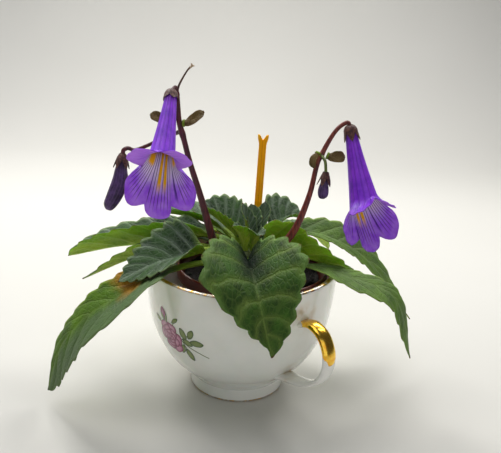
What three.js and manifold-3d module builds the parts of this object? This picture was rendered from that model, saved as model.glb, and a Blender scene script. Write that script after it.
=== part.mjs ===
import * as THREE from "three";
import { mergeVertices } from "three/addons/utils/BufferGeometryUtils.js";
import Module from "manifold-3d";

// Potted gesneriad with nodding violet bells, grown in a small nursery pot that stands in a porcelain cup.
// Millimetres, +Z up. The origin is the centre of the cup's foot on the table, and the handle points along +X.

// Cup
const CUP_RADIUS = 40;
const CUP_HEIGHT = 56.3;
const CUP_WALL = 2.3;
const FOOT_RADIUS = 20.5;
const FOOT_HEIGHT = 6;
const FOOT_RING_WALL = 3;
const FOOT_RECESS = 3;
const CUP_FLOOR = 8.5;
const HANDLE_HALF_WIDTH = 3.3;
const HANDLE_HALF_THICKNESS = 1.4;
const CUP_SIDES = 36;

// Nursery pot and its soil
const POT_RADIUS = 31.7;
const POT_BASE_RADIUS = 18.8;
const POT_WALL = 1;
const POT_BASE = 13;
const POT_TOP = 55;
const POT_LIP = 5;
const POT_OFFSET = 4.4;
const SOIL_EDGE = 50.5;
const SOIL_MIDDLE = 53;
const GAP = 0.35;

// Plant
const PLANT_TURN = THREE.MathUtils.degToRad(50);
const CROWN = [3, -2];
const CROWN_RADIUS = 6.5;
const CROWN_TOP = 63;
const CROWN_FOOT = 44;
const LEAF_EDGE_THICKNESS = 0.65;
const STALK_THICKNESS = 2.2;
const STALK_HALF_WIDTH = 1.5;
const PETAL_THICKNESS = 0.6;
const TOOTH_RISE = 0.7;

const wasm = await Module();
wasm.setup();

// Joining and cutting

function toSolid(geometry) {
  const bare = geometry.index ? geometry.toNonIndexed() : geometry.clone();
  bare.deleteAttribute("normal");
  bare.deleteAttribute("uv");
  const merged = mergeVertices(bare, 1e-4);
  return new wasm.Manifold(
    new wasm.Mesh({
      numProp: 3,
      vertProperties: merged.attributes.position.array,
      triVerts: new Uint32Array(merged.index.array),
    }),
  );
}

function toGeometry(solid) {
  const mesh = solid.getMesh();
  const geometry = new THREE.BufferGeometry();
  geometry.setAttribute("position", new THREE.BufferAttribute(new Float32Array(mesh.vertProperties), 3));
  geometry.setIndex(new THREE.BufferAttribute(new Uint32Array(mesh.triVerts), 1));
  geometry.computeVertexNormals();
  return geometry;
}

// The largest body, without the slivers that a boolean can leave beside it.
function largest(solid) {
  return solid.decompose().sort((a, b) => b.volume() - a.volume())[0];
}

function join(...geometries) {
  const solids = geometries.map(toSolid);
  return toGeometry(largest(solids.reduce((whole, next) => whole.add(next))));
}

function cut(geometry, ...tools) {
  const solids = tools.map(toSolid);
  return toGeometry(largest(solids.reduce((whole, tool) => whole.subtract(tool), toSolid(geometry))));
}

// Small helpers

const vec = (p) => new THREE.Vector3(...p);
const mix = (a, b, t) => a + (b - a) * t;
const clamp = THREE.MathUtils.clamp;
const radians = THREE.MathUtils.degToRad;

function ease(x) {
  const t = clamp(x, 0, 1);
  return t * t * (3 - 2 * t);
}

// A closed surface from points and triangles, with its faces turned outwards.
function closed(points, triangles) {
  let volume = 0;
  for (const [a, b, c] of triangles) {
    volume += points[a].dot(new THREE.Vector3().crossVectors(points[b], points[c]));
  }
  const turned = volume < 0 ? triangles.map(([a, b, c]) => [a, c, b]) : triangles;
  const geometry = new THREE.BufferGeometry().setFromPoints(points);
  geometry.setIndex(turned.flat());
  geometry.computeVertexNormals();
  return geometry;
}

// A uniform Catmull-Rom curve through hand-chosen points, for t from 0 to 1.
function along(points, t) {
  const last = points.length - 1;
  const place = clamp(t, 0, 1) * last;
  const k = Math.min(Math.floor(place), last - 1);
  const f = place - k;
  const p1 = points[k];
  const p2 = points[k + 1];
  const p0 = k > 0 ? points[k - 1] : p1.clone().multiplyScalar(2).sub(p2);
  const p3 = k + 2 <= last ? points[k + 2] : p2.clone().multiplyScalar(2).sub(p1);
  const at = (i) => {
    const a = p0.getComponent(i);
    const b = p1.getComponent(i);
    const c = p2.getComponent(i);
    const d = p3.getComponent(i);
    return 0.5 * (2 * b + (c - a) * f + (2 * a - 5 * b + 4 * c - d) * f * f + (3 * b - a - 3 * c + d) * f ** 3);
  };
  return new THREE.Vector3(at(0), at(1), at(2));
}

function heading(points, t) {
  const step = 0.002;
  const ahead = along(points, Math.min(1, t + step));
  return ahead.sub(along(points, Math.max(0, t - step))).normalize();
}

// Sheets: a grid of points given a thickness, split into triangles alike on both faces.

// The two triangles of each cell of a grid, as [row, column] corners.
function cellTriangles(rows, columns) {
  const triangles = [];
  for (let r = 0; r < rows - 1; r++) {
    for (let c = 0; c < columns - 1; c++) {
      triangles.push([[r, c], [r + 1, c], [r + 1, c + 1]], [[r, c], [r + 1, c + 1], [r, c + 1]]);
    }
  }
  return triangles;
}

// Each point's normal, as the mean of the triangles that meet at it.
function normalsOf(grid) {
  const normals = grid.map((row) => row.map(() => new THREE.Vector3()));
  for (const corners of cellTriangles(grid.length, grid[0].length)) {
    const [a, b, d] = corners.map(([r, c]) => grid[r][c]);
    const face = b.clone().sub(a).cross(d.clone().sub(a)).normalize();
    for (const [r, c] of corners) normals[r][c].add(face);
  }
  return normals.map((row) => row.map((normal) => normal.normalize()));
}

function sheet(grid, thickness) {
  const rows = grid.length;
  const columns = grid[0].length;
  const normals = normalsOf(grid);
  const points = [];
  for (const side of [0.5, -0.5]) {
    grid.forEach((row, r) =>
      row.forEach((p, c) => points.push(p.clone().addScaledVector(normals[r][c], side * thickness(r, c)))),
    );
  }
  const below = rows * columns;
  const id = (r, c) => r * columns + c;
  const triangles = [];
  for (const corners of cellTriangles(rows, columns)) {
    const [a, b, d] = corners.map(([r, c]) => id(r, c));
    triangles.push([a, b, d], [a + below, d + below, b + below]);
  }
  const border = [];
  for (let r = 0; r < rows - 1; r++) border.push(id(r, 0));
  for (let c = 0; c < columns - 1; c++) border.push(id(rows - 1, c));
  for (let r = rows - 1; r > 0; r--) border.push(id(r, columns - 1));
  for (let c = columns - 1; c > 0; c--) border.push(id(0, c));
  border.forEach((p, k) => {
    const q = border[(k + 1) % border.length];
    triangles.push([q, p, p + below], [q, p + below, q + below]);
  });
  return closed(points, triangles);
}

// A round rod along a curve, whose radius follows a list of values from foot to tip.
function rod(path, radii, sides, steps) {
  const points = path.map(vec);
  const radiusPoints = radii.map((r) => new THREE.Vector3(r, 0, 0));
  const rings = [];
  let across = null;
  for (let k = 0; k <= steps; k++) {
    const t = k / steps;
    const tangent = heading(points, t);
    if (!across) across = new THREE.Vector3(0.3, 1, 0.2);
    across = across.clone().addScaledVector(tangent, -across.dot(tangent)).normalize();
    const other = new THREE.Vector3().crossVectors(tangent, across);
    const centre = along(points, t);
    const radius = along(radiusPoints, t).x;
    const ring = [];
    for (let s = 0; s < sides; s++) {
      const angle = (2 * Math.PI * s) / sides;
      const p = centre.clone().addScaledVector(across, radius * Math.cos(angle));
      ring.push(p.addScaledVector(other, radius * Math.sin(angle)));
    }
    rings.push(ring);
  }
  return stackRings(rings);
}

// Rings of points joined one after another, with both ends capped.
function stackRings(rings) {
  const sides = rings[0].length;
  const points = rings.flat();
  const triangles = [];
  for (let k = 0; k < rings.length - 1; k++) {
    for (let s = 0; s < sides; s++) {
      const a = k * sides + s;
      const b = k * sides + ((s + 1) % sides);
      triangles.push([a, b, b + sides], [a, b + sides, a + sides]);
    }
  }
  const top = (rings.length - 1) * sides;
  for (let s = 1; s < sides - 1; s++) {
    triangles.push([0, s + 1, s], [top, top + s, top + s + 1]);
  }
  return closed(points, triangles);
}

// Cup: a lathed wall on a foot ring, with an ear handle joined to it

function cupProfile() {
  const outer = [
    [FOOT_RADIUS, 0],
    [FOOT_RADIUS, FOOT_HEIGHT - 0.6],
    [FOOT_RADIUS + 0.4, FOOT_HEIGHT],
    [23.8, 9.3],
    [28.4, 13.7],
    [31.3, 17.4],
    [33.9, 21.8],
    [36.2, 27],
    [37.9, 32.6],
    [39, 39],
    [39.6, 46],
    [CUP_RADIUS - 0.1, CUP_HEIGHT - 0.7],
    [CUP_RADIUS - 0.6, CUP_HEIGHT],
  ];
  const inner = outer
    .slice(3, -2)
    .reverse()
    .map(([r, z]) => [r - CUP_WALL * (z < 16 ? 1.15 : 1), z + (z < 30 ? 1 : 0)]);
  const points = [
    ...outer,
    [CUP_RADIUS - CUP_WALL + 0.5, CUP_HEIGHT],
    [CUP_RADIUS - CUP_WALL, CUP_HEIGHT - 0.7],
    ...inner,
    [17, CUP_FLOOR + 0.4],
    [12, CUP_FLOOR],
    [0, CUP_FLOOR],
    [0, FOOT_RECESS],
    [FOOT_RADIUS - FOOT_RING_WALL - 0.8, FOOT_RECESS],
    [FOOT_RADIUS - FOOT_RING_WALL, 0],
    [FOOT_RADIUS, 0],
  ];
  return points.map(([r, z]) => new THREE.Vector2(r, z));
}

// LatheGeometry turns about Y, so its axis is stood up along Z.
function lathe(profile, segments) {
  const upwards = THREE.ShapeUtils.area(profile) > 0 ? profile : [...profile].reverse();
  return new THREE.LatheGeometry(upwards, segments).rotateX(Math.PI / 2);
}

const HANDLE_ROUTE = [
  [35.5, 0, 40.5],
  [39.5, 0, 43],
  [44.5, 0, 44.3],
  [50, 0, 42],
  [53.4, 0, 36.5],
  [53.6, 0, 30.5],
  [51.3, 0, 25],
  [46.6, 0, 20.6],
  [40.5, 0, 17.8],
  [34, 0, 16.6],
  [27.5, 0, 15.5],
];

function handle() {
  const points = HANDLE_ROUTE.map(vec);
  const side = new THREE.Vector3(0, 1, 0);
  const rings = [];
  const steps = 22;
  const sides = 10;
  for (let k = 0; k <= steps; k++) {
    const t = k / steps;
    const out = new THREE.Vector3().crossVectors(side, heading(points, t)).normalize();
    const swell = 1 + 0.35 * (Math.abs(2 * t - 1) ** 4);
    const centre = along(points, t);
    const ring = [];
    for (let s = 0; s < sides; s++) {
      const angle = (2 * Math.PI * s) / sides;
      const p = centre.clone().addScaledVector(side, HANDLE_HALF_WIDTH * swell * Math.cos(angle));
      ring.push(p.addScaledVector(out, HANDLE_HALF_THICKNESS * swell * Math.sin(angle)));
    }
    rings.push(ring);
  }
  return stackRings(rings);
}

function cup() {
  const profile = cupProfile();
  const filled = [...profile.slice(0, 14), new THREE.Vector2(0, CUP_HEIGHT), ...profile.slice(-4)];
  const body = join(lathe(filled, CUP_SIDES), handle());
  const start = profile.findIndex((p) => p.x < CUP_RADIUS - CUP_WALL + 0.6 && p.y === CUP_HEIGHT);
  const end = profile.findIndex((p) => p.x === 0);
  const hollow = [...profile.slice(start, end + 1), new THREE.Vector2(0, CUP_HEIGHT + 1)];
  hollow.push(new THREE.Vector2(CUP_RADIUS - CUP_WALL + 0.5, CUP_HEIGHT + 1), hollow[0]);
  return cut(body, lathe(hollow, CUP_SIDES));
}

// Nursery pot: a thin tapered shell with a lip, set to one side in the cup

function potProfile() {
  const waist = POT_RADIUS - 1.6;
  const slope = (z) => mix(POT_BASE_RADIUS, waist, (z - POT_BASE) / (POT_TOP - POT_LIP - POT_BASE));
  return [
    [0, POT_BASE],
    [POT_BASE_RADIUS, POT_BASE],
    [waist, POT_TOP - POT_LIP],
    [POT_RADIUS, POT_TOP - POT_LIP],
    [POT_RADIUS, POT_TOP - 0.3],
    [POT_RADIUS - 0.3, POT_TOP],
    [POT_RADIUS - POT_WALL, POT_TOP],
    [POT_RADIUS - POT_WALL, POT_TOP - POT_LIP + 1],
    [waist - POT_WALL, POT_TOP - POT_LIP - 0.5],
    [slope(POT_BASE + POT_WALL) - POT_WALL, POT_BASE + POT_WALL],
    [0, POT_BASE + POT_WALL],
    [0, POT_BASE],
  ].map(([r, z]) => new THREE.Vector2(r, z));
}

// Soil: fills the pot, with a crumbly top that rises a little to the crown

function soilHeight(x, y) {
  const far = Math.hypot(x - CROWN[0] + POT_OFFSET, y - CROWN[1]);
  const mound = mix(SOIL_MIDDLE, SOIL_EDGE, clamp(far / (POT_RADIUS - POT_WALL), 0, 1));
  const crumbs = 0.5 * Math.sin(x * 0.9 + 1) * Math.cos(y * 1.1) + 0.35 * Math.sin(x * 2.3 - y * 1.7);
  return mound + crumbs;
}

function soil() {
  const sides = 30;
  const outline = [
    [POT_BASE_RADIUS - POT_WALL - 1.2, POT_BASE + POT_WALL + GAP],
    [POT_RADIUS - 1.6 - POT_WALL - 0.75, POT_TOP - POT_LIP - 0.8],
  ];
  const ringAt = (radius, height) => {
    const ring = [];
    for (let s = 0; s < sides; s++) {
      const angle = (2 * Math.PI * s) / sides;
      const x = radius * Math.cos(angle);
      const y = radius * Math.sin(angle);
      ring.push(new THREE.Vector3(x, y, height ?? soilHeight(x, y)));
    }
    return ring;
  };
  const rings = outline.map(([r, z]) => ringAt(r, z));
  for (const share of [1, 0.8, 0.6, 0.4, 0.2]) rings.push(ringAt(outline[1][0] * share));
  return stackRings(rings);
}

// Crown: a short stout stem in the soil, tipped with the youngest leaves

function crownBulb(grow) {
  const profile = [
    [0, CROWN_FOOT - grow],
    [2.5 + grow, CROWN_FOOT - grow],
    [CROWN_RADIUS - 1.5 + grow, 49],
    [CROWN_RADIUS + grow, 55],
    [CROWN_RADIUS + grow, 59],
    [CROWN_RADIUS - 1.8 + grow, CROWN_TOP - 1],
    [0, CROWN_TOP + grow],
  ].map(([r, z]) => new THREE.Vector2(r, z));
  return lathe(profile, 16).translate(CROWN[0], CROWN[1], 0);
}

// Leaves: a midrib through hand-chosen points, and side rows that lean back at the heart-shaped base and
// forward at the tip. Each half has its own width and its own fold, so a blade can stand in a V or droop.

const FULL_FOLD_WIDTH = 5;
const LEAF_DEFAULTS = {
  peak: 0.3,
  base: 0.3,
  point: 1.6,
  blunt: 0.9,
  lean: [[0, 25], [0, 25]],
  roll: [0, 0],
  tooth: 1.3,
  teeth: 8,
  stalk: 0.25,
  open: 1,
};

// A value that is the same on both halves of a leaf, or a pair for its left and right half.
const sided = (value, onLeft) => (Array.isArray(value) ? value[onLeft ? 0 : 1] : value);

function bladeSpread(leaf, u, onLeft) {
  const peak = sided(leaf.peak, onLeft);
  if (u < peak) return mix(1, sided(leaf.base, onLeft), (1 - u / peak) ** 2);
  const beyond = (u - peak) / (1 - peak);
  return Math.max(0, 1 - beyond ** sided(leaf.point, onLeft)) ** sided(leaf.blunt, onLeft);
}

function leafRows(leaf) {
  const rows = [0, 0.4 * leaf.stalk, 0.75 * leaf.stalk];
  for (let k = 0; k < leaf.teeth; k++) {
    rows.push(mix(leaf.stalk, 1, k / leaf.teeth), mix(leaf.stalk, 1, (k + TOOTH_RISE) / leaf.teeth));
  }
  return [...rows, 1];
}

function leafGrid(spec) {
  const leaf = { ...LEAF_DEFAULTS, ...spec };
  const points = leaf.rib.map(vec);
  const reach = points.at(-1).clone().sub(points[0]).setZ(0).normalize();
  const level = new THREE.Vector3(0, 0, 1).cross(reach);
  return leafRows(leaf).map((t) => {
    const centre = along(points, t);
    const ahead = heading(points, t);
    const left = level.clone().addScaledVector(ahead, -level.dot(ahead)).normalize();
    left.applyAxisAngle(ahead, radians(mix(leaf.roll[0], leaf.roll[1], t)));
    const up = new THREE.Vector3().crossVectors(ahead, left);
    const onBlade = t >= leaf.stalk - 1e-9;
    const u = onBlade ? (t - leaf.stalk) / (1 - leaf.stalk) : 0;
    const phase = (u * leaf.teeth) % 1;
    const rise = phase <= TOOTH_RISE + 1e-6 ? phase / TOOTH_RISE : (1 - phase) / (1 - TOOTH_RISE);
    const saw = u > 0 && u < 1 ? rise : 0;
    return [-2, -1, 0, 1, 2].map((column) => {
      const onLeft = column > 0;
      const v = Math.abs(column) / 2;
      const half = onLeft ? leaf.left : leaf.right;
      const folds = onLeft ? leaf.foldLeft : leaf.foldRight;
      const [leanAtBase, leanAtTip] = sided(leaf.lean, onLeft);
      const lean = onBlade ? radians(mix(leanAtTip, leanAtBase, (1 - u) ** 3)) : 0;
      let width = STALK_HALF_WIDTH;
      if (onBlade) {
        width = Math.max(0.45, half * bladeSpread(leaf, u, onLeft));
        width += leaf.tooth * saw * v ** 3 * Math.min(1, width / 6);
      }
      const fold = radians(mix(folds[0], folds[1], ease(u / leaf.open))) * ease(width / FULL_FOLD_WIDTH);
      const flat = width * v * Math.cos(fold);
      return centre
        .clone()
        .addScaledVector(left, Math.sign(column) * flat * Math.cos(lean))
        .addScaledVector(ahead, flat * Math.sin(lean))
        .addScaledVector(up, width * v * Math.sin(fold));
    });
  });
}

function leafThickness(spec) {
  const leaf = { ...LEAF_DEFAULTS, ...spec };
  const rows = leafRows(leaf);
  return (r, c) => {
    const v = Math.abs(c - 2) / 2;
    if (rows[r] < leaf.stalk) return mix(STALK_THICKNESS, STALK_THICKNESS * 0.7, v);
    const rib = mix(STALK_THICKNESS * 0.8, LEAF_EDGE_THICKNESS, ease((rows[r] - leaf.stalk) * 1.6));
    return mix(Math.max(rib, LEAF_EDGE_THICKNESS), LEAF_EDGE_THICKNESS, Math.min(1, v * 2));
  };
}

function leafBlade(spec) {
  return sheet(leafGrid(spec), leafThickness(spec));
}

const LEAVES = {
  leaf_front: {
    rib: [[2.5, -7.5, 58.5], [2.5, -17.5, 61.8], [6, -37, 59.5], [9.5, -47, 50], [13, -50, 38.5]],
    left: 22.2, right: 24, foldLeft: [42, 20], foldRight: [41, 3.6], peak: 0.46, base: 0.3, point: 0.8,
    blunt: [0.73, 1.7], lean: [[-65, -20], [-65, -4]], tooth: 2, teeth: 10,
  },
  leaf_left_silver: {
    rib: [[-1.5, -6.5, 60], [-13, -9.5, 63.5], [-23, -16, 62.5], [-34.5, -23.5, 61.5], [-46.5, -28, 55.5]],
    left: 8, right: 14.5, foldLeft: [45, -12], foldRight: [60, 28], tooth: 2.2,
    stalk: 0.4, peak: 0.16, base: 0.85, lean: [[-5, 30], [-5, 30]], open: 0.6, point: [2, 1.15],
  },
  leaf_left_long: {
    rib: [[-2, -7, 56.5], [-17, -15, 59.5], [-33, -25, 57.5], [-47, -31, 50], [-60, -32, 40.5], [-70, -30, 26],
      [-75.5, -29, 7]],
    left: 16, right: 10.5, foldLeft: [15, -8], foldRight: [28, 0],
    roll: [0, -12], stalk: 0.3, peak: 0.35, teeth: 9, open: 0.6, point: [2.6, 1.4],
  },
  leaf_left_far: {
    rib: [[-3, 0, 61], [-15, 6, 64.5], [-36.5, 11, 58.5], [-58, 13.4, 54.2], [-77.2, 12.6, 49.1]],
    left: 10.5, right: 12, foldLeft: [64, 42], foldRight: [50, 22],
    stalk: 0.3, base: 0.45, teeth: 7, tooth: 1.9, point: 3.1, blunt: 0.8,
  },
  leaf_left_narrow: {
    rib: [[-3, 1.5, 56.5], [-16, 3.5, 60], [-33, 3, 59.6], [-50.5, 3, 52], [-68.5, 3, 42.5]],
    left: 5.5, right: 6.5, foldLeft: [60, 45], foldRight: [28, 10],
    stalk: 0.4, peak: 0.4, teeth: 6,
  },
  leaf_right_far: {
    rib: [[8.5, 2.5, 59], [20.5, 9.5, 66.3], [40, 15, 62], [58.5, 20, 49.5], [80, 24, 21.5]],
    left: 11, right: 5, foldLeft: [40, 34], foldRight: [0, -30],
    stalk: 0.3, base: 0.4, peak: 0.4, teeth: 9, point: [1.6, 2.8], open: 0.6,
  },
  leaf_right_long: {
    rib: [[9, -3.5, 55.5], [22.5, -10.2, 59.6], [41, -14.8, 57.2], [62, -17.5, 50], [70.5, -20, 25]],
    left: 6, right: 8, foldLeft: [18, 8], foldRight: [10, -15],
    stalk: 0.32, peak: 0.45, open: 0.5, point: 2,
  },
  leaf_right_near: {
    rib: [[9.6, -1.6, 61], [14, -1.8, 64], [23, -4.2, 61.7], [36.5, -6, 58], [51, -5, 52.5]],
    left: 8.5, right: 13, foldLeft: [20, 8], foldRight: [74, 40],
    stalk: 0.18, base: 0.75, peak: 0.25, point: 1.2,
  },
  leaf_back_right: {
    rib: [[7, 2.6, 62], [12.3, 7.5, 68], [15.8, 13, 70.5], [21, 18.5, 71], [28, 23, 68]],
    left: 11, right: 5, foldLeft: [60, 35], foldRight: [35, 10],
    stalk: 0.28, base: 0.3, teeth: 6, tooth: 2,
  },
  leaf_back_left: {
    rib: [[-1, 1.5, 62.5], [-3.5, 3.5, 66.5], [-7.5, 5.5, 69], [-13, 8, 72.5], [-19.5, 10, 76]],
    left: 6.5, right: 12.5, foldLeft: [60, 40], foldRight: [48, 35],
    stalk: 0.2, base: 0.6, peak: 0.35, teeth: 7, tooth: 1.8, point: 2,
  },
  leaf_back_left_low: {
    rib: [[-1, 3.5, 60], [-9.5, 11, 66.3], [-19.5, 19, 67], [-30.5, 27, 66.5], [-44, 33, 65]],
    left: 8, right: 10, foldLeft: [40, 20], foldRight: [30, 20],
    base: 0.5, peak: 0.35, teeth: 7,
  },
  leaf_back: {
    rib: [[2.6, 4.8, 57.5], [-3.5, 16, 60.3], [-8, 29, 61], [-12, 44, 60], [-14, 58, 46]],
    left: 8, right: 9.5, foldLeft: [15, -8], foldRight: [15, -8],
    base: 0.5, teeth: 7,
  },
  leaf_back_right_low: {
    rib: [[6, 4.2, 56.6], [14.8, 14.3, 60.3], [24, 26, 61.5], [33, 38, 60], [42, 50, 45]],
    left: 10, right: 10, foldLeft: [15, -8], foldRight: [15, -8],
    base: 0.45, peak: 0.35, teeth: 7,
  },
  leaf_back_left_outer: {
    rib: [[0, 3.6, 55.6], [-13, 13, 59.4], [-27, 22, 60.8], [-38, 32, 58], [-45, 40.5, 44]],
    left: 8.5, right: 7.5, foldLeft: [15, -8], foldRight: [15, -8],
    base: 0.45, peak: 0.35, teeth: 7,
  },
};

const CENTRE_LEAVES = [
  { rib: [[3, -2, 60.5], [2.5, -1.5, 65], [1.5, 0, 70.5], [0, 1, 75.5], [-1, 1, 80.5]] },
  { rib: [[4, -1, 60.5], [4.5, 0, 65], [4, 3, 70.5], [3.5, 5, 75], [2.5, 6, 79]] },
  { rib: [[5, -1, 60], [6.5, 0.5, 65], [7.5, 5, 70], [8.5, 8, 75], [8.5, 9, 79.5]] },
  { rib: [[4, -4, 60.5], [4.5, -5.5, 65], [5, -8, 69], [6, -10.5, 71], [7, -12, 71.5]] },
  { rib: [[1.5, -4, 60], [0.5, -5, 65], [-1.5, -7, 70], [-3, -8, 72], [-4.5, -8, 73.5]] },
].map((leaf) => ({
  ...leaf,
  left: 4.2, right: 4.2, foldLeft: [55, 28], foldRight: [55, 28],
  stalk: 0.3, base: 0.6, peak: 0.4, teeth: 3, tooth: 1.1,
}));

// Flower stems, each with its bent stalk, and the left one with a dried style at its top

const STEM_LEFT = {
  path: [[-5.5, -2, 55], [-9, -2.5, 58], [-12.5, -3, 65.5], [-18, -4, 84], [-22.5, -5, 98], [-25, -5, 107],
    [-27, -5, 114], [-27.5, -5.2, 120], [-27.9, -5, 124.6], [-28.7, -5.8, 127.9]],
  radii: [1.9, 1.8, 1.7, 1.35, 1.15, 1.1, 1.1, 0.9, 0.85, 0.85],
};
const STEM_RIGHT = {
  path: [[7, -7, 57.5], [12, -9.6, 62.5], [18, -10, 70], [22, -10, 78], [25.5, -8, 89], [27.5, -6, 100],
    [29.5, -5, 105], [32, -4.5, 110.5], [34.5, -4.5, 114.5], [36.7, -4.5, 116.6], [38.6, -4.7, 117.5]],
  radii: [1.7, 1.7, 1.6, 1.35, 1.1, 1, 1, 0.9, 0.85, 0.85, 0.85],
};
const DRIED_STYLE = {
  path: [[-28.1, -5.3, 124.4], [-27.3, -4.4, 128], [-24.6, -5, 133], [-23, -5, 135]],
  radii: [0.7, 0.5, 0.4, 0.55],
};

// Bells: a shell with a round tube, a flaring mouth and five lobes. The frame has its foot, the way the
// bell points and the side that its two short upper lobes are on.

function bellFrame(bell) {
  const down = vec(bell.mouth).sub(vec(bell.foot)).normalize();
  const lip = vec(bell.lip);
  lip.addScaledVector(down, -lip.dot(down)).normalize();
  const side = new THREE.Vector3().crossVectors(down, lip);
  return { foot: vec(bell.foot), length: vec(bell.mouth).distanceTo(vec(bell.foot)), down, lip, side };
}

// The mouth spreads into five lobes, one after another round it from its upper side. A bell's notches and
// tips are measured from the middle of its mouth: onwards, to its upper side, and across.
const LOBE_SPAN = 72;
const LOBE_BULGE = 0.2;
const LOBE_HOLD = 0.3;
const NEAR_MOUTH = 0.96;

// The frame's own measures turned into a step in space.
function bellStep(frame, [onward, upper, across]) {
  const step = frame.down.clone().multiplyScalar(onward);
  return step.addScaledVector(frame.lip, upper).addScaledVector(frame.side, across);
}

// The lobes' edge at one angle, as a step from the middle of the mouth.
function lobeEdge(bell, frame, degrees) {
  const turn = ((degrees % 360) + 360) % 360;
  const lobe = Math.min(4, Math.floor(turn / LOBE_SPAN));
  const across = (2 * turn) / LOBE_SPAN - 2 * lobe - 1;
  const before = bellStep(frame, bell.notches[lobe]);
  const after = bellStep(frame, bell.notches[(lobe + 1) % 5]);
  const middle = before.clone().add(after).multiplyScalar(0.5);
  const widened = 0.5 * across * (1 + LOBE_BULGE * (1 - across * across));
  const rounding = Math.sqrt(Math.max(0, 1 - Math.abs(across) ** bell.rounding[lobe]));
  const reach = bellStep(frame, bell.tips[lobe]).sub(middle);
  return middle.addScaledVector(after.sub(before), widened).addScaledVector(reach, rounding);
}

function tubePoint(bell, frame, degrees, s) {
  const angle = radians(degrees);
  const outward = frame.lip.clone().multiplyScalar(Math.cos(angle)).addScaledVector(frame.side, Math.sin(angle));
  const radius = mix(bell.footRadius, bell.mouthRadius, s ** bell.swell);
  const p = frame.foot.clone().addScaledVector(frame.down, s * frame.length);
  return p.addScaledVector(frame.lip, bell.belly * s * s * frame.length).addScaledVector(outward, radius);
}

// A point of the bell's outer side, for a row from 0 (foot) to 1 (mouth) to 2 (the lobes' edge). Past the
// mouth each line leaves the tube straight on and bends over to its point of the edge.
function bellPoint(bell, frame, degrees, row) {
  if (row <= 1) return tubePoint(bell, frame, degrees, row);
  const mouth = tubePoint(bell, frame, degrees, 1);
  const onward = mouth.clone().sub(tubePoint(bell, frame, degrees, NEAR_MOUTH)).normalize();
  const middle = frame.foot.clone().addScaledVector(frame.down, frame.length);
  middle.addScaledVector(frame.lip, bell.belly * frame.length);
  const edge = middle.add(lobeEdge(bell, frame, degrees));
  const bend = mouth.clone().addScaledVector(onward, LOBE_HOLD * edge.distanceTo(mouth));
  const t = row - 1;
  const p = mouth.multiplyScalar((1 - t) ** 2).addScaledVector(bend, 2 * t * (1 - t));
  return p.addScaledVector(edge, t * t);
}

function bellShell(bell, columns, rows) {
  const frame = bellFrame(bell);
  const grid = rows.map((row) => {
    const ring = [];
    for (let c = 0; c < columns; c++) ring.push(bellPoint(bell, frame, (360 * c) / columns, row));
    return ring;
  });
  const inner = grid.slice(1).map((ring, k) =>
    ring.map((p, c) => {
      const r = k + 1;
      const along = grid[Math.min(r + 1, grid.length - 1)][c].clone().sub(grid[r - 1][c]);
      const across = ring[(c + 1) % columns].clone().sub(ring[(c + columns - 1) % columns]);
      return p.clone().addScaledVector(along.cross(across).normalize(), PETAL_THICKNESS);
    }),
  );
  return joinShell(grid, inner);
}

// An outer and an inner stack of rings, joined round the mouth and capped at the foot.
function joinShell(outer, inner) {
  const columns = outer[0].length;
  const points = [...outer.flat(), ...inner.flat()];
  const base = outer.length * columns;
  const triangles = [];
  const wall = (start, count, flip) => {
    for (let r = 0; r < count - 1; r++) {
      for (let c = 0; c < columns; c++) {
        const a = start + r * columns + c;
        const b = start + r * columns + ((c + 1) % columns);
        const quad = [[a, b, b + columns], [a, b + columns, a + columns]];
        for (const [i, j, k] of quad) triangles.push(flip ? [i, k, j] : [i, j, k]);
      }
    }
  };
  wall(0, outer.length, false);
  wall(base, inner.length, true);
  const rimOut = (outer.length - 1) * columns;
  const rimIn = base + (inner.length - 1) * columns;
  for (let c = 0; c < columns; c++) {
    const d = (c + 1) % columns;
    triangles.push([rimOut + c, rimOut + d, rimIn + d], [rimOut + c, rimIn + d, rimIn + c]);
  }
  for (let c = 1; c < columns - 1; c++) {
    triangles.push([0, c + 1, c], [base, base + c, base + c + 1]);
  }
  return closed(points, triangles);
}

const BELL_COLUMNS = 30;
const BELL_ROWS = [0, 0.12, 0.35, 0.6, 0.82, 1, 1.2, 1.45, 1.7, 1.86, 2];
const BELL_LEFT = {
  foot: [-29.7, -8.8, 125], mouth: [-30.6, -23.4, 104.2], lip: [-0.1, -1, 0.2],
  footRadius: 2.2, mouthRadius: 4.8, swell: 1.2, belly: 0.05, rounding: [3.2, 2.4, 2.4, 2.4, 3.2],
  sepalLength: 2,
  notches: [[1.7, 6.2, 0.1], [5.8, 2.1, 6.1], [17.1, -6.4, 6], [16.6, -8.7, -3.6], [5.9, 1, -6.5]],
  tips: [[2.8, 7.3, 10.1], [14.5, -1.9, 12.7], [22.1, -7.8, 0.3], [13.7, -8, -12.6], [2.1, 3.8, -10.4]],
};
const BELL_RIGHT = {
  foot: [39.3, -5.4, 114.6], mouth: [45.7, -9.1, 89.4], lip: [0.6, -1, 0],
  footRadius: 2.3, mouthRadius: 5.4, swell: 1.35, belly: 0.03, rounding: [2.8, 2.4, 2, 2.4, 2.4],
  sepalLength: 3.4,
  notches: [[1, 6.7, -0.2], [4.1, 1.2, 8.1], [16.4, -0.5, 4.3], [17.2, 2.4, -2.9], [5.1, 3.5, -6.5]],
  tips: [[3.8, 8.3, 8.7], [14.4, -0.8, 11.1], [22.2, 3.6, 2.7], [15.7, 7, -9.2], [5.5, 10.2, -6.7]],
};

// Sepals: a small cup round the foot of a bell, cut into five narrow points

const SEPAL_COLUMNS = 20;
const SEPAL_CUP_DEPTH = 1.2;
const SEPAL_FLARE = 0.7;
const SEPAL_STALK_RADIUS = 0.9;
const FLOWER_SEPAL_CAP = 1.8;
const BUD_SEPAL_CAP = 1.1;

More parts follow.
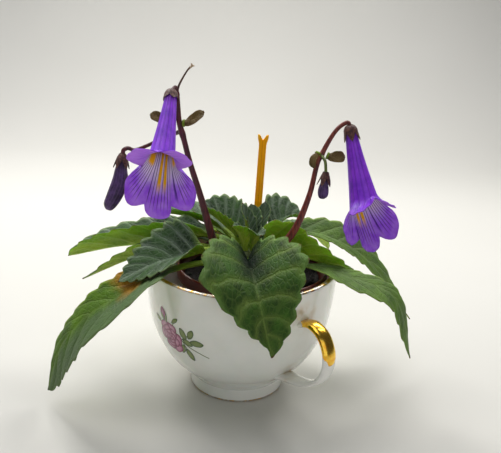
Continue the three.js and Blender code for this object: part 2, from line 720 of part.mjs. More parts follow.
function sepalShell(bell, length, cap) {
  const frame = bellFrame(bell);
  const columns = SEPAL_COLUMNS;
  const place = (row, c, grow) => {
    const angle = (2 * Math.PI * c) / columns;
    const outward = frame.lip.clone().multiplyScalar(Math.cos(angle)).addScaledVector(frame.side, Math.sin(angle));
    const phase = Math.abs((((c / columns) * 5) % 1) - 0.5) * 2;
    const cupped = Math.min(row, 1);
    const beyond = Math.max(0, row - 1);
    const down = mix(-cap, SEPAL_CUP_DEPTH, cupped) + beyond * length * (1 - phase) ** 0.9;
    const s = clamp(down / frame.length, 0, 1);
    const tube = mix(bell.footRadius, bell.mouthRadius, s ** bell.swell) / Math.cos(Math.PI / columns);
    const cup = mix(SEPAL_STALK_RADIUS, tube + GAP, Math.min(1, cupped * 2.2));
    const radius = cup + grow + beyond * SEPAL_FLARE * (1 - phase);
    const belly = bell.belly * s * s * frame.length;
    const p = frame.foot.clone().addScaledVector(frame.down, down).addScaledVector(frame.lip, belly);
    return p.addScaledVector(outward, radius);
  };
  const ring = (row, grow) => Array.from({ length: columns }, (_, c) => place(row, c, grow));
  const rows = [0, 0.45, 1, 1.35, 1.7, 2];
  const outer = rows.map((row) => ring(row, PETAL_THICKNESS));
  const inner = rows.slice(2).map((row) => ring(row, 0));
  const floorRow = (cap - GAP) / (cap + SEPAL_CUP_DEPTH);
  return joinShell(outer, [ring(floorRow, 0.15), ...inner]);
}

// Pistil: a slim style inside a bell, with a small flat tip

function pistil(bell) {
  const frame = bellFrame(bell);
  const at = (down, toLip) => {
    const p = frame.foot.clone().addScaledVector(frame.down, down).addScaledVector(frame.lip, toLip);
    return [p.x, p.y, p.z];
  };
  const reach = frame.length * 0.78;
  return rod([at(6, 0.3), at(reach * 0.5, 1), at(reach * 0.8, 1.9), at(reach, 2.2)], [0.7, 0.6, 0.55, 0.9], 8, 8);
}

// Buds: closed bags on bent stalks, each with a small crown of sepals

const BUD_LEFT = {
  stalk: [[-26.2, -4.8, 110.3], [-33, 1.5, 106.5], [-41, 4, 102], [-46, 4.2, 100], [-48.6, 3.9, 100.6],
    [-50.4, 3.6, 99.7]],
  bag: [[-50.8, 3, 97.4], [-51.2, 2, 92], [-51.6, 1, 87], [-53.6, 0, 81.5], [-55.8, -0.5, 77.3], [-57, -1, 75.6]],
  stalkRadii: [0.9, 0.8, 0.75, 0.75, 0.8, 0.8],
  bagRadii: [1.2, 2.5, 3.3, 3.2, 2.5, 1.2],
  sepalRadius: 1.5,
  sepalLength: 4,
};
const BUD_RIGHT = {
  stalk: [[28.8, -5.5, 104], [30.3, -8, 102.2], [30.7, -9.4, 98.9]],
  bag: [[30.8, -9.7, 97.1], [30.6, -10, 94], [30.4, -10.2, 91], [30.4, -10.2, 88.7], [30.5, -10.2, 87.5]],
  stalkRadii: [0.7, 0.6, 0.6],
  bagRadii: [0.9, 1.5, 2.1, 1.9, 0.9],
  sepalRadius: 1.1,
  sepalLength: 3.2,
};

function budSepals(bud) {
  const radius = bud.sepalRadius;
  const start = vec(bud.bag[0]);
  const ahead = vec(bud.bag[1]).sub(start).normalize();
  const foot = start.clone().addScaledVector(ahead, -0.1);
  const bell = {
    foot: [foot.x, foot.y, foot.z],
    mouth: start.clone().addScaledVector(ahead, 12).toArray(),
    lip: [0.2, -1, 0],
    footRadius: radius, mouthRadius: radius + 2.6, swell: 0.8, belly: 0,
  };
  return sepalShell(bell, bud.sepalLength, BUD_SEPAL_CAP);
}

// Bracts: little leaves where a stem bends

const BRACTS = {
  bract_left_inner: {
    roll: [-50, -50],
    rib: [[-28.9, -6, 113.5], [-31.5, -6, 114.2], [-34, -6, 115], [-36, -6, 115.8], [-38, -6, 116.5]],
  },
  bract_left_outer: {
    roll: [50, 50],
    rib: [[-25.4, -5.5, 113.5], [-23.5, -6, 114], [-21.5, -6, 115.2], [-19.5, -6, 117], [-17.5, -6, 118.5]],
  },
  bract_right_inner: {
    rib: [[27.6, -7.4, 105], [26.8, -8, 104.2], [26, -8.4, 102.8], [25.7, -8.6, 101], [26, -8.6, 99.4]],
  },
  bract_right_outer: {
    roll: [50, 60],
    rib: [[31.2, -4.5, 103.6], [32.8, -5, 103.2], [34.6, -5, 103.2], [36.4, -5, 103.4], [38.2, -5, 103.8]],
  },
};
for (const bract of Object.values(BRACTS)) {
  Object.assign(bract, { left: 2.1, right: 2.1, foldLeft: [40, 10], foldRight: [40, 10], teeth: 2, tooth: 0.3 });
  Object.assign(bract, { stalk: 0.12, base: 0.5, peak: 0.5, point: 2.4 });
}

// Stake: a tapered plastic stick with a ridge down its face and a forked top

const STAKE_FOOT = [4.3, 12, 22];
const STAKE_LEAN = radians(1.2);
const STAKE_LENGTH = 85.5;
const STAKE_HALF_WIDTH = 1.75;
const STAKE_THICKNESS = 1.8;

function stake(grow) {
  const w = STAKE_HALF_WIDTH + grow;
  const top = STAKE_LENGTH;
  const outline = [
    [0, -grow], [w, 4], [w * 0.92, top - 5], [w * 0.95, top - 3], [w * 1.5, top - 0.6], [w * 1.35, top],
    [w * 0.8, top - 0.4], [0.3, top - 1.9], [-0.3, top - 1.9], [-w * 1.1, top], [-w * 1.45, top + 0.1],
    [-w * 0.95, top - 3], [-w * 0.92, top - 5], [-w, 4],
  ];
  const shape = new THREE.Shape(outline.map(([x, y]) => new THREE.Vector2(x, y)));
  const flat = new THREE.ExtrudeGeometry(shape, { depth: STAKE_THICKNESS + 2 * grow, bevelEnabled: false });
  flat.translate(0, 0, -STAKE_THICKNESS / 2 - grow).rotateX(Math.PI / 2).rotateY(STAKE_LEAN);
  if (grow) return flat.translate(...STAKE_FOOT);
  const ridge = new THREE.BoxGeometry(0.8, STAKE_THICKNESS + 0.7, top - 12).translate(0, 0, top / 2);
  ridge.rotateY(STAKE_LEAN);
  return join(flat, ridge).translate(...STAKE_FOOT);
}

// Colours

const COLOURS = {
  porcelain: { color: "#eceae2", roughness: 0.18, metalness: 0 },
  potPlastic: { color: "#4a1d17", roughness: 0.45, metalness: 0 },
  soil: { color: "#1b1411", roughness: 0.95, metalness: 0 },
  leafGreen: { color: "#35502c", roughness: 0.6, metalness: 0 },
  leafLime: { color: "#5f7a26", roughness: 0.6, metalness: 0 },
  stemMaroon: { color: "#47201f", roughness: 0.5, metalness: 0 },
  sepal: { color: "#3a2226", roughness: 0.6, metalness: 0 },
  petal: { color: "#6a38b4", roughness: 0.5, metalness: 0 },
  bud: { color: "#33203c", roughness: 0.5, metalness: 0 },
  bract: { color: "#42371f", roughness: 0.6, metalness: 0 },
  pistil: { color: "#d9cfe0", roughness: 0.5, metalness: 0 },
  stakePlastic: { color: "#d99a12", roughness: 0.35, metalness: 0 },
};

function part(name, geometry, colour) {
  const mesh = new THREE.Mesh(geometry, new THREE.MeshStandardMaterial(COLOURS[colour]));
  mesh.name = name;
  return mesh;
}

// The scene graph

const object = new THREE.Group();
object.add(part("cup", cup(), "porcelain"));

const plant = new THREE.Group();
plant.rotation.z = PLANT_TURN;
object.add(plant);

const nurseryPot = part("nursery_pot", lathe(potProfile(), 30), "potPlastic");
nurseryPot.position.x = POT_OFFSET;
plant.add(nurseryPot);

const bulbRoom = crownBulb(GAP);
const stakeRoom = stake(2 * GAP);
const soilBody = soil().translate(POT_OFFSET, 0, 0);
const stemLeft = rod(STEM_LEFT.path, STEM_LEFT.radii, 8, 24);
const stemRight = rod(STEM_RIGHT.path, STEM_RIGHT.radii, 8, 26);
plant.add(part("soil", cut(soilBody, bulbRoom, stakeRoom), "soil"));
plant.add(part("crown", join(crownBulb(0), ...CENTRE_LEAVES.map(leafBlade)), "leafGreen"));
plant.add(part("stake", stake(0), "stakePlastic"));

for (const [name, leaf] of Object.entries(LEAVES)) {
  plant.add(part(name, cut(leafBlade(leaf), bulbRoom), "leafGreen"));
}

const driedStyle = rod(DRIED_STYLE.path, DRIED_STYLE.radii, 6, 8);
const budStalkLeft = rod(BUD_LEFT.stalk, BUD_LEFT.stalkRadii, 8, 12);
const budStalkRight = rod(BUD_RIGHT.stalk, BUD_RIGHT.stalkRadii, 8, 5);
plant.add(part("flower_stem_left", cut(join(stemLeft, driedStyle, budStalkLeft), bulbRoom), "stemMaroon"));
plant.add(part("flower_stem_right", cut(join(stemRight, budStalkRight), bulbRoom), "stemMaroon"));

for (const [name, bract] of Object.entries(BRACTS)) plant.add(part(name, leafBlade(bract), "bract"));

for (const [side, bell] of [["left", BELL_LEFT], ["right", BELL_RIGHT]]) {
  plant.add(part(`flower_${side}_corolla`, bellShell(bell, BELL_COLUMNS, BELL_ROWS), "petal"));
  plant.add(part(`flower_${side}_sepals`, sepalShell(bell, bell.sepalLength, FLOWER_SEPAL_CAP), "sepal"));
  plant.add(part(`flower_${side}_pistil`, pistil(bell), "pistil"));
}

plant.add(part("bud_left", rod(BUD_LEFT.bag, BUD_LEFT.bagRadii, 12, 14), "bud"));
plant.add(part("bud_left_sepals", budSepals(BUD_LEFT), "sepal"));
plant.add(part("bud_right", rod(BUD_RIGHT.bag, BUD_RIGHT.bagRadii, 10, 10), "bud"));
plant.add(part("bud_right_sepals", budSepals(BUD_RIGHT), "sepal"));

export default object;
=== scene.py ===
# %% [markdown]
# This scene dresses a potted gesneriad: two nodding violet bells over a rosette of quilted leaves, grown in
# a small nursery pot that stands in a gilt porcelain cup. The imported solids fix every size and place. Each
# piece made here is a finer skin over one of them, drawn from the same few curves, so nothing is fitted by
# eye.

import math

import bpy
import numpy as np
from mathutils import Matrix, Vector, noise


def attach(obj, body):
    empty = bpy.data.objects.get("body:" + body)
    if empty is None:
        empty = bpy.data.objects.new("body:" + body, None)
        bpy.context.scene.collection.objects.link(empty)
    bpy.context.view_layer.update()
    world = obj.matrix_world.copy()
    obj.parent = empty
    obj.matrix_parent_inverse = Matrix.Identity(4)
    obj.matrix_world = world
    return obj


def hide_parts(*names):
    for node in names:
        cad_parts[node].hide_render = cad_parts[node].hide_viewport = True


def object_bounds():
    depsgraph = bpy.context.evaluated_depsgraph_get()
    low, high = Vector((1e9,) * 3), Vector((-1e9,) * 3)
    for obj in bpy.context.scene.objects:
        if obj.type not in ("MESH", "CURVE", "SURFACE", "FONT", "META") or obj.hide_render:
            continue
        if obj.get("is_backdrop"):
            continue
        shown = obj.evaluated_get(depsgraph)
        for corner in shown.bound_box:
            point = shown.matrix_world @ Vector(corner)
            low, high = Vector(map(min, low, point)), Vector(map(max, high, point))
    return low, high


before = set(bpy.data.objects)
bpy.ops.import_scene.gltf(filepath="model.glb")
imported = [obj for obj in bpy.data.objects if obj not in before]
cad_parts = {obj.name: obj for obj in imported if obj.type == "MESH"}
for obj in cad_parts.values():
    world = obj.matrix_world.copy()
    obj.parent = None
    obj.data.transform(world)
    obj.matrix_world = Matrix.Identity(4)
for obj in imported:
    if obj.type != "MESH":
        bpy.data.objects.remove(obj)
CAD_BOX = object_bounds()
MM = 0.001
print("nodes", len(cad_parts), "box in mm", [round(v / MM, 1) for corner in CAD_BOX for v in corner])

# %% [markdown]
# The camera stands where the photographer stood: a little higher than the flowers, just over a quarter
# metre from the plant, and rolled by three degrees. It could be aimed with a constraint, but a look-at
# rotation worked out once leaves nothing in the file that moves by itself.

# %% Camera
CAMERA_PLACE = Vector((201.6, -165.6, 157.9)) * MM
CAMERA_AIM = Vector((1.7, 2.1, 71.1)) * MM
CAMERA_ROLL = math.radians(2.99)
CAMERA_LENS = 47.6

camera = bpy.data.objects.new("camera", bpy.data.cameras.new("camera"))
camera.data.lens = CAMERA_LENS
camera.data.clip_start = 0.01
bpy.context.scene.collection.objects.link(camera)
bpy.context.scene.camera = camera
look = (CAMERA_AIM - CAMERA_PLACE).to_track_quat("-Z", "Y").to_matrix().to_4x4()
camera.matrix_world = Matrix.Translation(CAMERA_PLACE) @ look @ Matrix.Rotation(CAMERA_ROLL, 4, "Z")
print("camera is", round((CAMERA_AIM - CAMERA_PLACE).length / MM), "mm from its aim")

# %% [markdown]
# Every piece is a mesh worked out from curves, so a few helpers come first. A curve passes through listed
# points. A rod sweeps a circle along one, a lathe turns an outline about the vertical,
# and a sheet gives a grid of points a thickness. Blender's own curve objects could do some of this, but a
# grid in numpy can also hand the shader where each point lies on the leaf or petal.

# %% Curves
def along(points, t):
    """Points of a uniform Catmull-Rom curve through given points, for an array of t from 0 to 1."""
    points = np.asarray(points, float)
    last = len(points) - 1
    ends = [2 * points[0] - points[1]], [2 * points[-1] - points[-2]]
    padded = np.concatenate([ends[0], points, ends[1]])
    way = np.clip(np.asarray(t, float), 0, 1) * last
    k = np.minimum(way.astype(int), last - 1)
    f = (way - k)[:, None]
    a, b, c, d = (padded[k + i] for i in range(4))
    return 0.5 * (2 * b + (c - a) * f + (2 * a - 5 * b + 4 * c - d) * f**2 + (3 * b - a - 3 * c + d) * f**3)


def unit(vectors):
    return vectors / np.maximum(np.linalg.norm(vectors, axis=-1, keepdims=True), 1e-12)


def heading(points, t, step=0.002):
    t = np.asarray(t, float)
    return unit(along(points, np.minimum(1, t + step)) - along(points, np.maximum(0, t - step)))


def ease(x):
    t = np.clip(x, 0, 1)
    return t * t * (3 - 2 * t)


def mix(a, b, t):
    return a + (b - a) * t


print("half way through an ease", float(ease(0.5)))


# %% Grids
PLANT_TURN = math.radians(50)


def in_plant_frame(points):
    """The plant is drawn in the photograph's own directions and then turned about the vertical."""
    turned = np.array(points, float)
    cos, sin = math.cos(PLANT_TURN), math.sin(PLANT_TURN)
    turned[..., 0] = cos * points[..., 0] - sin * points[..., 1]
    turned[..., 1] = sin * points[..., 0] + cos * points[..., 1]
    return turned


def grid_normals(grid, closed=False):
    """Each point's normal in a grid of rows and columns, whose columns may run round in a ring."""
    down = np.gradient(grid, axis=0)
    if closed:
        across = np.roll(grid, -1, axis=1) - np.roll(grid, 1, axis=1)
    else:
        across = np.gradient(grid, axis=1)
    return unit(np.cross(down, across))


def grid_faces(rows, columns, start=0, closed=False, flip=False):
    """Four-sided faces between the points of a grid, whose first point has the number start."""
    faces = []
    for r in range(rows - 1):
        for c in range(columns if closed else columns - 1):
            d = (c + 1) % columns
            quad = [r * columns + c, (r + 1) * columns + c, (r + 1) * columns + d, r * columns + d]
            faces.append([start + i for i in (quad[::-1] if flip else quad)])
    return faces


def capped_faces(rings, sides, flip=False):
    """The faces of a tube of rings, with one flat face over each end."""
    ends = [list(range(sides))[::-1], list(range((rings - 1) * sides, rings * sides))]
    if flip:
        ends = [end[::-1] for end in ends]
    return grid_faces(rings, sides, closed=True, flip=flip) + ends


def round_angles(count):
    """Angles that go once round in even steps."""
    return np.arange(count) * 2 * math.pi / count


def three_marks(*values):
    """Three numbers for each point of a grid, from arrays that are stretched to its shape."""
    return np.stack(np.broadcast_arrays(*values), axis=-1)


print("the plant is turned by", round(math.degrees(PLANT_TURN)), "degrees")

# %% [markdown]
# One function turns points and faces into a piece. It scales millimetres to metres, shades the surface
# smooth, stores what the shader needs to know at each point as a named attribute, gives it its materials,
# and hides the solid that the piece stands for.

# %% Making a piece
made_pieces = []


def add_piece(name, points, faces, materials, node, slot, face_slots=None, attributes=None, sharp=None):
    mesh = bpy.data.meshes.new(name)
    mesh.from_pydata((np.asarray(points, float).reshape(-1, 3) * MM).tolist(), [], faces)
    mesh.shade_smooth()
    if sharp is not None:
        mesh.set_sharp_from_angle(angle=math.radians(sharp))
    for material in materials:
        mesh.materials.append(material)
    if face_slots is not None:
        mesh.polygons.foreach_set("material_index", face_slots)
    for key, values in (attributes or {}).items():
        layer = mesh.attributes.new(key, "FLOAT_VECTOR", "POINT")
        layer.data.foreach_set("vector", np.asarray(values, np.float32).reshape(-1))
    mesh.validate()
    mesh.update()
    piece = bpy.data.objects.new(name, mesh)
    bpy.context.scene.collection.objects.link(piece)
    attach(piece, "root")
    if node:
        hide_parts(node)
    made_pieces.append(piece)
    return piece


print("pieces so far", len(made_pieces))

# %% [markdown]
# A shader is a tree of nodes, and here it is built in code. Each node's output is wrapped as a mask, which
# can be added and multiplied like a number, so a finish reads as a short sum and not as a list of links.
# The helpers are the blends, noises and soft thresholds that every material here is made of.

# %% Masks
class Mask:
    """A number, colour or place that varies over a surface."""

    def __init__(self, socket):
        self.socket = socket

    def __add__(self, other):
        return calc("ADD", self, other)

    def __sub__(self, other):
        return calc("SUBTRACT", self, other)

    def __rsub__(self, other):
        return calc("SUBTRACT", other, self)

    def __mul__(self, other):
        return calc("MULTIPLY", self, other)

    def __pow__(self, other):
        return calc("POWER", self, other)

    def __abs__(self):
        return calc("ABSOLUTE", self)

    def __round__(self):
        return calc("ROUND", self)


def colour(text):
    """A hex colour as the linear numbers that a socket holds."""
    values = [int(text[i : i + 2], 16) / 255 for i in (1, 3, 5)]
    linear = [v / 12.92 if v <= 0.04045 else ((v + 0.055) / 1.055) ** 2.4 for v in values]
    return (*linear, 1.0)


def fill(socket, value):
    """Links a mask to a socket, or sets the socket to a number or a hex colour."""
    if isinstance(value, Mask):
        socket.id_data.links.new(value.socket, socket)
    else:
        socket.default_value = colour(value) if isinstance(value, str) else value


def add_node(tree, kind, inputs=None, output=0, **settings):
    """One node with its settings and inputs, and the mask of one of its outputs."""
    made = tree.nodes.new("ShaderNode" + kind)
    for key, value in settings.items():
        setattr(made, key, value)
    for key, value in (inputs or {}).items():
        fill(made.inputs[key], value)
    return Mask(made.outputs[output])


def tree_of(*values):
    """The node tree that the masks among some values belong to."""
    return next(value.socket.id_data for value in values if isinstance(value, Mask))


def calc(operation, *values):
    return add_node(tree_of(*values), "Math", dict(enumerate(values)), operation=operation)


print("mid grey as a socket holds it", [round(v, 3) for v in colour("#808080")])


# %% Blends and noises
def soft_step(value, low, high):
    """0 where value is below low and 1 above high, with a smooth turn between; low may be the larger."""
    inputs = {"Value": value, "From Min": low, "From Max": high}
    return add_node(tree_of(value), "MapRange", inputs, "Result", interpolation_type="SMOOTHSTEP")


def mix_value(factor, first, second):
    """first where factor is 0 and second where it is 1."""
    inputs = {"Value": factor, "To Min": first, "To Max": second}
    return add_node(tree_of(factor), "MapRange", inputs, "Result")


def blend(factor, first, second):
    """The first colour where factor is 0 and the second where it is 1."""
    tree = tree_of(factor, first, second)
    return add_node(tree, "Mix", {0: factor, 6: first, 7: second}, 2, data_type="RGBA")


def waves(measure, count, shift=0.0):
    """A sine wave that goes up and down count times while the measure grows by one."""
    return calc("SINE", measure * (math.tau * count) + shift)


def cloudy(vector, scale, detail=4.0, roughness=0.55):
    inputs = {"Vector": vector, "Scale": scale, "Detail": detail, "Roughness": roughness}
    return add_node(tree_of(vector), "TexNoise", inputs)


def split(vector):
    """The three numbers of a vector."""
    node = add_node(tree_of(vector), "SeparateXYZ", {0: vector}).socket.node
    return [Mask(socket) for socket in node.outputs]


def attribute(tree, name):
    """The three numbers stored at each point under a name."""
    return split(add_node(tree, "Attribute", None, "Vector", attribute_name=name))


def place(tree):
    """Where a point is on the object, in millimetres."""
    found = add_node(tree, "TexCoord", None, "Object")
    return add_node(tree, "VectorMath", {0: found, "Scale": 1 / MM}, operation="SCALE")


print("a place in a shader is measured in units of", MM, "m")


# %% Finishing a surface
def new_material(name):
    material = bpy.data.materials.new(name)
    material.use_nodes = True
    return material, material.node_tree


def finish_surface(material, bump=None, distance=0.1, strength=1.0, **sockets):
    """Fills the surface's sockets by name, and bends its normal by a height in millimetres."""
    tree = material.node_tree
    surface = tree.nodes["Principled BSDF"]
    for key, value in sockets.items():
        fill(surface.inputs[key.replace("_", " ")], value)
    if bump is not None:
        inputs = {"Height": bump, "Distance": distance * MM, "Strength": strength}
        fill(surface.inputs["Normal"], add_node(tree, "Bump", inputs))
    return material


print("materials so far", len(bpy.data.materials))

# %% [markdown]
# The cup is bone-white porcelain with a worn gold line on its rim and foot. Where the handle was stuck on,
# old tea and glaze have left ochre stains. The shader finds each of these by height and by distance from
# the handle's two roots, so they stay in place from any side. A clear coat over the body gives the glaze
# its sharp highlights, and a very fine noise keeps the white from looking like plastic.

# %% Porcelain and gilding
CUP_RADIUS = 40.0
CUP_HEIGHT = 56.3
CUP_WALL = 2.3
FOOT_RADIUS = 20.5
HANDLE_ROOTS = [(39.6, 0.0, 45.0), (31.0, 0.0, 16.5)]
STAIN_REACH = 8.5


def stained(position, glaze):
    """The glaze with ochre stains at the handle's roots, which fade to nothing at a distance."""
    away = [
        add_node(tree_of(position), "VectorMath", {0: position, 1: root}, "Value", operation="DISTANCE")
        for root in HANDLE_ROOTS
    ]
    near = soft_step(calc("MINIMUM", *away), STAIN_REACH, STAIN_REACH / 4)
    blotches = soft_step(cloudy(position, 0.16, 3.0), 0.36, 0.7)
    return blend(near * blotches * 0.7, glaze, "#c09a48")


def porcelain_material():
    material, tree = new_material("porcelain")
    position = place(tree)
    x, y, z = split(position)
    glaze = blend(soft_step(cloudy(position, 0.03), 0.35, 0.7), "#f3f3ee", "#e6e9e2")
    rim = soft_step(z, CUP_HEIGHT - 0.75, CUP_HEIGHT - 0.45)
    radius = calc("SQRT", x * x + y * y)
    foot = soft_step(z, 1.0, 0.7) * soft_step(radius, FOOT_RADIUS - 1.6, FOOT_RADIUS - 1.2)
    unworn = soft_step(cloudy(position, 0.5, 6.0), 0.36, 0.6)
    line = calc("MAXIMUM", rim, foot) * mix_value(unworn, 0.35, 1.0)
    gold = blend(unworn, "#7a5a2c", "#c99a3c")
    return finish_surface(
        material, bump=cloudy(position, 0.9, 2.0), distance=0.02,
        Base_Color=blend(line, stained(position, glaze), gold),
        Metallic=line * 0.85, Roughness=mix_value(line, 0.12, 0.32),
        Coat_Weight=0.6, Coat_Roughness=0.04, Specular_IOR_Level=0.6,
        Subsurface_Weight=0.08, Subsurface_Scale=0.004,
    )


PORCELAIN = porcelain_material()
print("material", PORCELAIN.name, "with", len(PORCELAIN.node_tree.nodes), "nodes")

# %% [markdown]
# A cup is thrown or jiggered, so it is a solid of revolution: a near-straight upper wall that curves in
# hard to a straight foot ring. Its outline is drawn once on the outside, offset for the inside, and turned
# in many fine steps, with a half-round lip and a foot ring that is hollow underneath.

# %% Cup body
CUP_TURNS = 144
FOOT_RECESS = 3.0
FOOT_EDGE = 0.7
CUP_FLOOR = 8.5
CUP_SIDE = [
    (20.9, 6.0), (23.8, 9.3), (28.4, 13.7), (31.3, 17.4), (33.9, 21.8),
    (36.2, 27.0), (37.9, 32.6), (39.0, 39.0), (39.6, 46.0), (39.85, 51.0), (39.9, 55.1),
]


def lathe_grid(outline, turns):
    """A grid of rows round the outline and columns round the vertical, both in millimetres."""
    outline = np.asarray(outline, float)
    angle = round_angles(turns)
    radius, height = outline[:, :1], outline[:, 1:]
    return np.stack([radius * np.cos(angle), radius * np.sin(angle), height + 0 * angle], axis=-1)


def arc(centre, radius, start, stop, steps):
    """Points on an arc in the outline's plane, with its angles in degrees."""
    angle = np.radians(np.linspace(start, stop, steps))
    return [(centre[0] + radius * math.cos(a), centre[1] + radius * math.sin(a)) for a in angle]


def cup_outline():
    side = along(CUP_SIDE, np.linspace(0, 1, 60))
    lip_radius = CUP_WALL / 2
    lip = arc((CUP_RADIUS - 0.1 - lip_radius, CUP_HEIGHT - lip_radius), lip_radius, 0, 180, 12)
    inside = [(r - CUP_WALL, z + (1.0 if z < 30 else 0.0)) for r, z in side[::-1] if z > 9.5 and z < 54.5]
    foot = arc((FOOT_RADIUS - FOOT_EDGE, FOOT_EDGE), FOOT_EDGE, -90, 0, 6)
    recess = [(0.0, FOOT_RECESS), (FOOT_RADIUS - 3.9, FOOT_RECESS), (FOOT_RADIUS - 3.2, 0.4), (18.0, 0.0)]
    neck = [(FOOT_RADIUS, 3.0), (FOOT_RADIUS, 5.2), (20.55, 5.7)]
    floor = [(19.0, 9.6), (15.0, 8.8), (8.0, CUP_FLOOR), (0.0, CUP_FLOOR)]
    return [*recess, *foot, *neck, *side, *lip, *inside, *floor]


def add_lathe(name, outline, turns, materials, node, slot, offset=(0, 0), turn=False):
    grid = lathe_grid(outline, turns)
    grid[..., 0] += offset[0]
    grid[..., 1] += offset[1]
    if turn:
        grid = in_plant_frame(grid)
    faces = grid_faces(len(outline), turns, closed=True, flip=True)
    return add_piece(name, grid, faces, materials, node, slot, sharp=35)


cup = add_lathe("cup_body", cup_outline(), CUP_TURNS, [PORCELAIN], "cup", "porcelain")
print("cup body faces", len(cup.data.polygons))

# %% [markdown]
# The handle is a strap of clay bent into an ear and luted to the wall before firing. It is swept along the
# same route as the solid, with a section that is domed outside and flatter inside, and it swells at its two
# roots. Its upper half was gilded by brush, so the gold ends in a rounded edge and thins along the sides.

# %% Cup handle
HANDLE_ROUTE = [
    (37.6, 0, 41.9), (39.5, 0, 43), (44.5, 0, 44.3), (50, 0, 42), (53.4, 0, 36.5), (53.6, 0, 30.5),
    (51.3, 0, 25), (46.6, 0, 20.6), (40.5, 0, 17.8), (34, 0, 16.6), (29.4, 0, 15.9),
]
HANDLE_HALF_WIDTH = 3.25
HANDLE_HALF_THICKNESS = 1.4
ROOT_SWELL = 0.4
INNER_SHARE = 0.8
GILDED_FROM = 0.1
GILDED_TO = 0.47


def gilded_material():
    material, tree = new_material("gilded_porcelain")
    position = place(tree)
    t, side, outward = attribute(tree, "strap")
    rounded = side * side * 0.05
    ragged = (cloudy(position, 0.6) - 0.5) * 0.03
    gold = soft_step(t + rounded + ragged, GILDED_TO + 0.004, GILDED_TO - 0.004)
    gold = gold * soft_step(t + ragged - rounded, GILDED_FROM - 0.006, GILDED_FROM + 0.006)
    gold = gold * soft_step(outward + ragged * 6, -0.62, -0.5)
    metal = blend(soft_step(cloudy(position, 0.8, 6.0), 0.3, 0.62), "#f4ac20", "#ffd44c")
    return finish_surface(
        material, bump=cloudy(position, 0.25, 2.0), distance=0.12, strength=0.5,
        Base_Color=blend(gold, stained(position, "#f1f1ec"), metal), Metallic=gold,
        Roughness=mix_value(gold, 0.12, 0.22), Coat_Weight=0.5, Coat_Roughness=0.05,
    )


def add_handle():
    steps, sides = 110, 36
    t = np.linspace(0, 1, steps)
    centre = along(HANDLE_ROUTE, t)
    side = np.array([0.0, 1.0, 0.0])
    out = unit(np.cross(heading(HANDLE_ROUTE, t), side))
    swell = 1 + ROOT_SWELL * np.abs(2 * t - 1) ** 5
    angle = round_angles(sides)
    wide = np.sign(np.cos(angle)) * np.abs(np.cos(angle)) ** 0.85
    high = np.where(np.sin(angle) > 0, np.sin(angle), INNER_SHARE * np.sin(angle))
    grid = centre[:, None] + side * (HANDLE_HALF_WIDTH * swell[:, None] * wide)[..., None]
    grid = grid + out[:, None] * (HANDLE_HALF_THICKNESS * swell[:, None] * high)[..., None]
    return add_piece(
        "cup_handle", grid, capped_faces(steps, sides), [gilded_material()], "cup", "porcelain",
        attributes={"strap": three_marks(t[:, None], wide, np.sin(angle))},
    )


handle = add_handle()
print("handle faces", len(handle.data.polygons))

# %% [markdown]
# Printed roses on such cups are transfers: thin coloured prints that are slid onto the glaze and fired. A
# painted mask in the shader could show one, but small sheets that lie about a tenth of a millimetre over
# the wall are closer to the real thing and easier to draw. This spray is a plain one of the usual kind: an
# open rose, a bud, some leaves and their stems, each an outline with a few numbers.

# %% Drawing on the cup
SPRAY_ANGLE = -80.0
SPRAY_LIFT = 0.04


def cup_radius_at(height):
    side = along(CUP_SIDE, np.linspace(0, 1, 200))
    return np.interp(height, side[:, 1], side[:, 0])


def on_cup(flat, lift):
    """Flat points, in millimetres right of the spray's middle and above the table, laid on the wall."""
    height = flat[..., 1]
    radius = cup_radius_at(height)
    angle = math.radians(SPRAY_ANGLE) + flat[..., 0] / radius
    radius = radius + lift
    return np.stack([radius * np.cos(angle), radius * np.sin(angle), height], axis=-1)


def motif(outline, middle, steps=4):
    """Rings from a middle point out to an outline, with (share out, place round) at each point."""
    outline = np.asarray(outline, float)
    share = np.linspace(0, 1, steps)
    grid = mix(np.asarray(middle, float), outline, share[:, None, None])
    turn = np.linspace(0, 1, len(outline), endpoint=False)
    return grid, three_marks(share[:, None], turn, 0.0)


def oval(centre, length, width, degrees, power=1.0, count=28, wave=0.0):
    """A closed outline that is pointed when its power is over 1, turned by an angle about its middle."""
    angle = round_angles(count)
    reach = length / 2 * np.cos(angle)
    across = width / 2 * np.sign(np.sin(angle)) * np.abs(np.sin(angle)) ** power
    across = across * (1 + wave * np.sin(5 * angle))
    turn = math.radians(degrees)
    x = centre[0] + reach * math.cos(turn) - across * math.sin(turn)
    y = centre[1] + reach * math.sin(turn) + across * math.cos(turn)
    return np.stack([x, y], axis=-1)


print("cup radius at the spray", round(float(cup_radius_at(33)), 1), "mm")

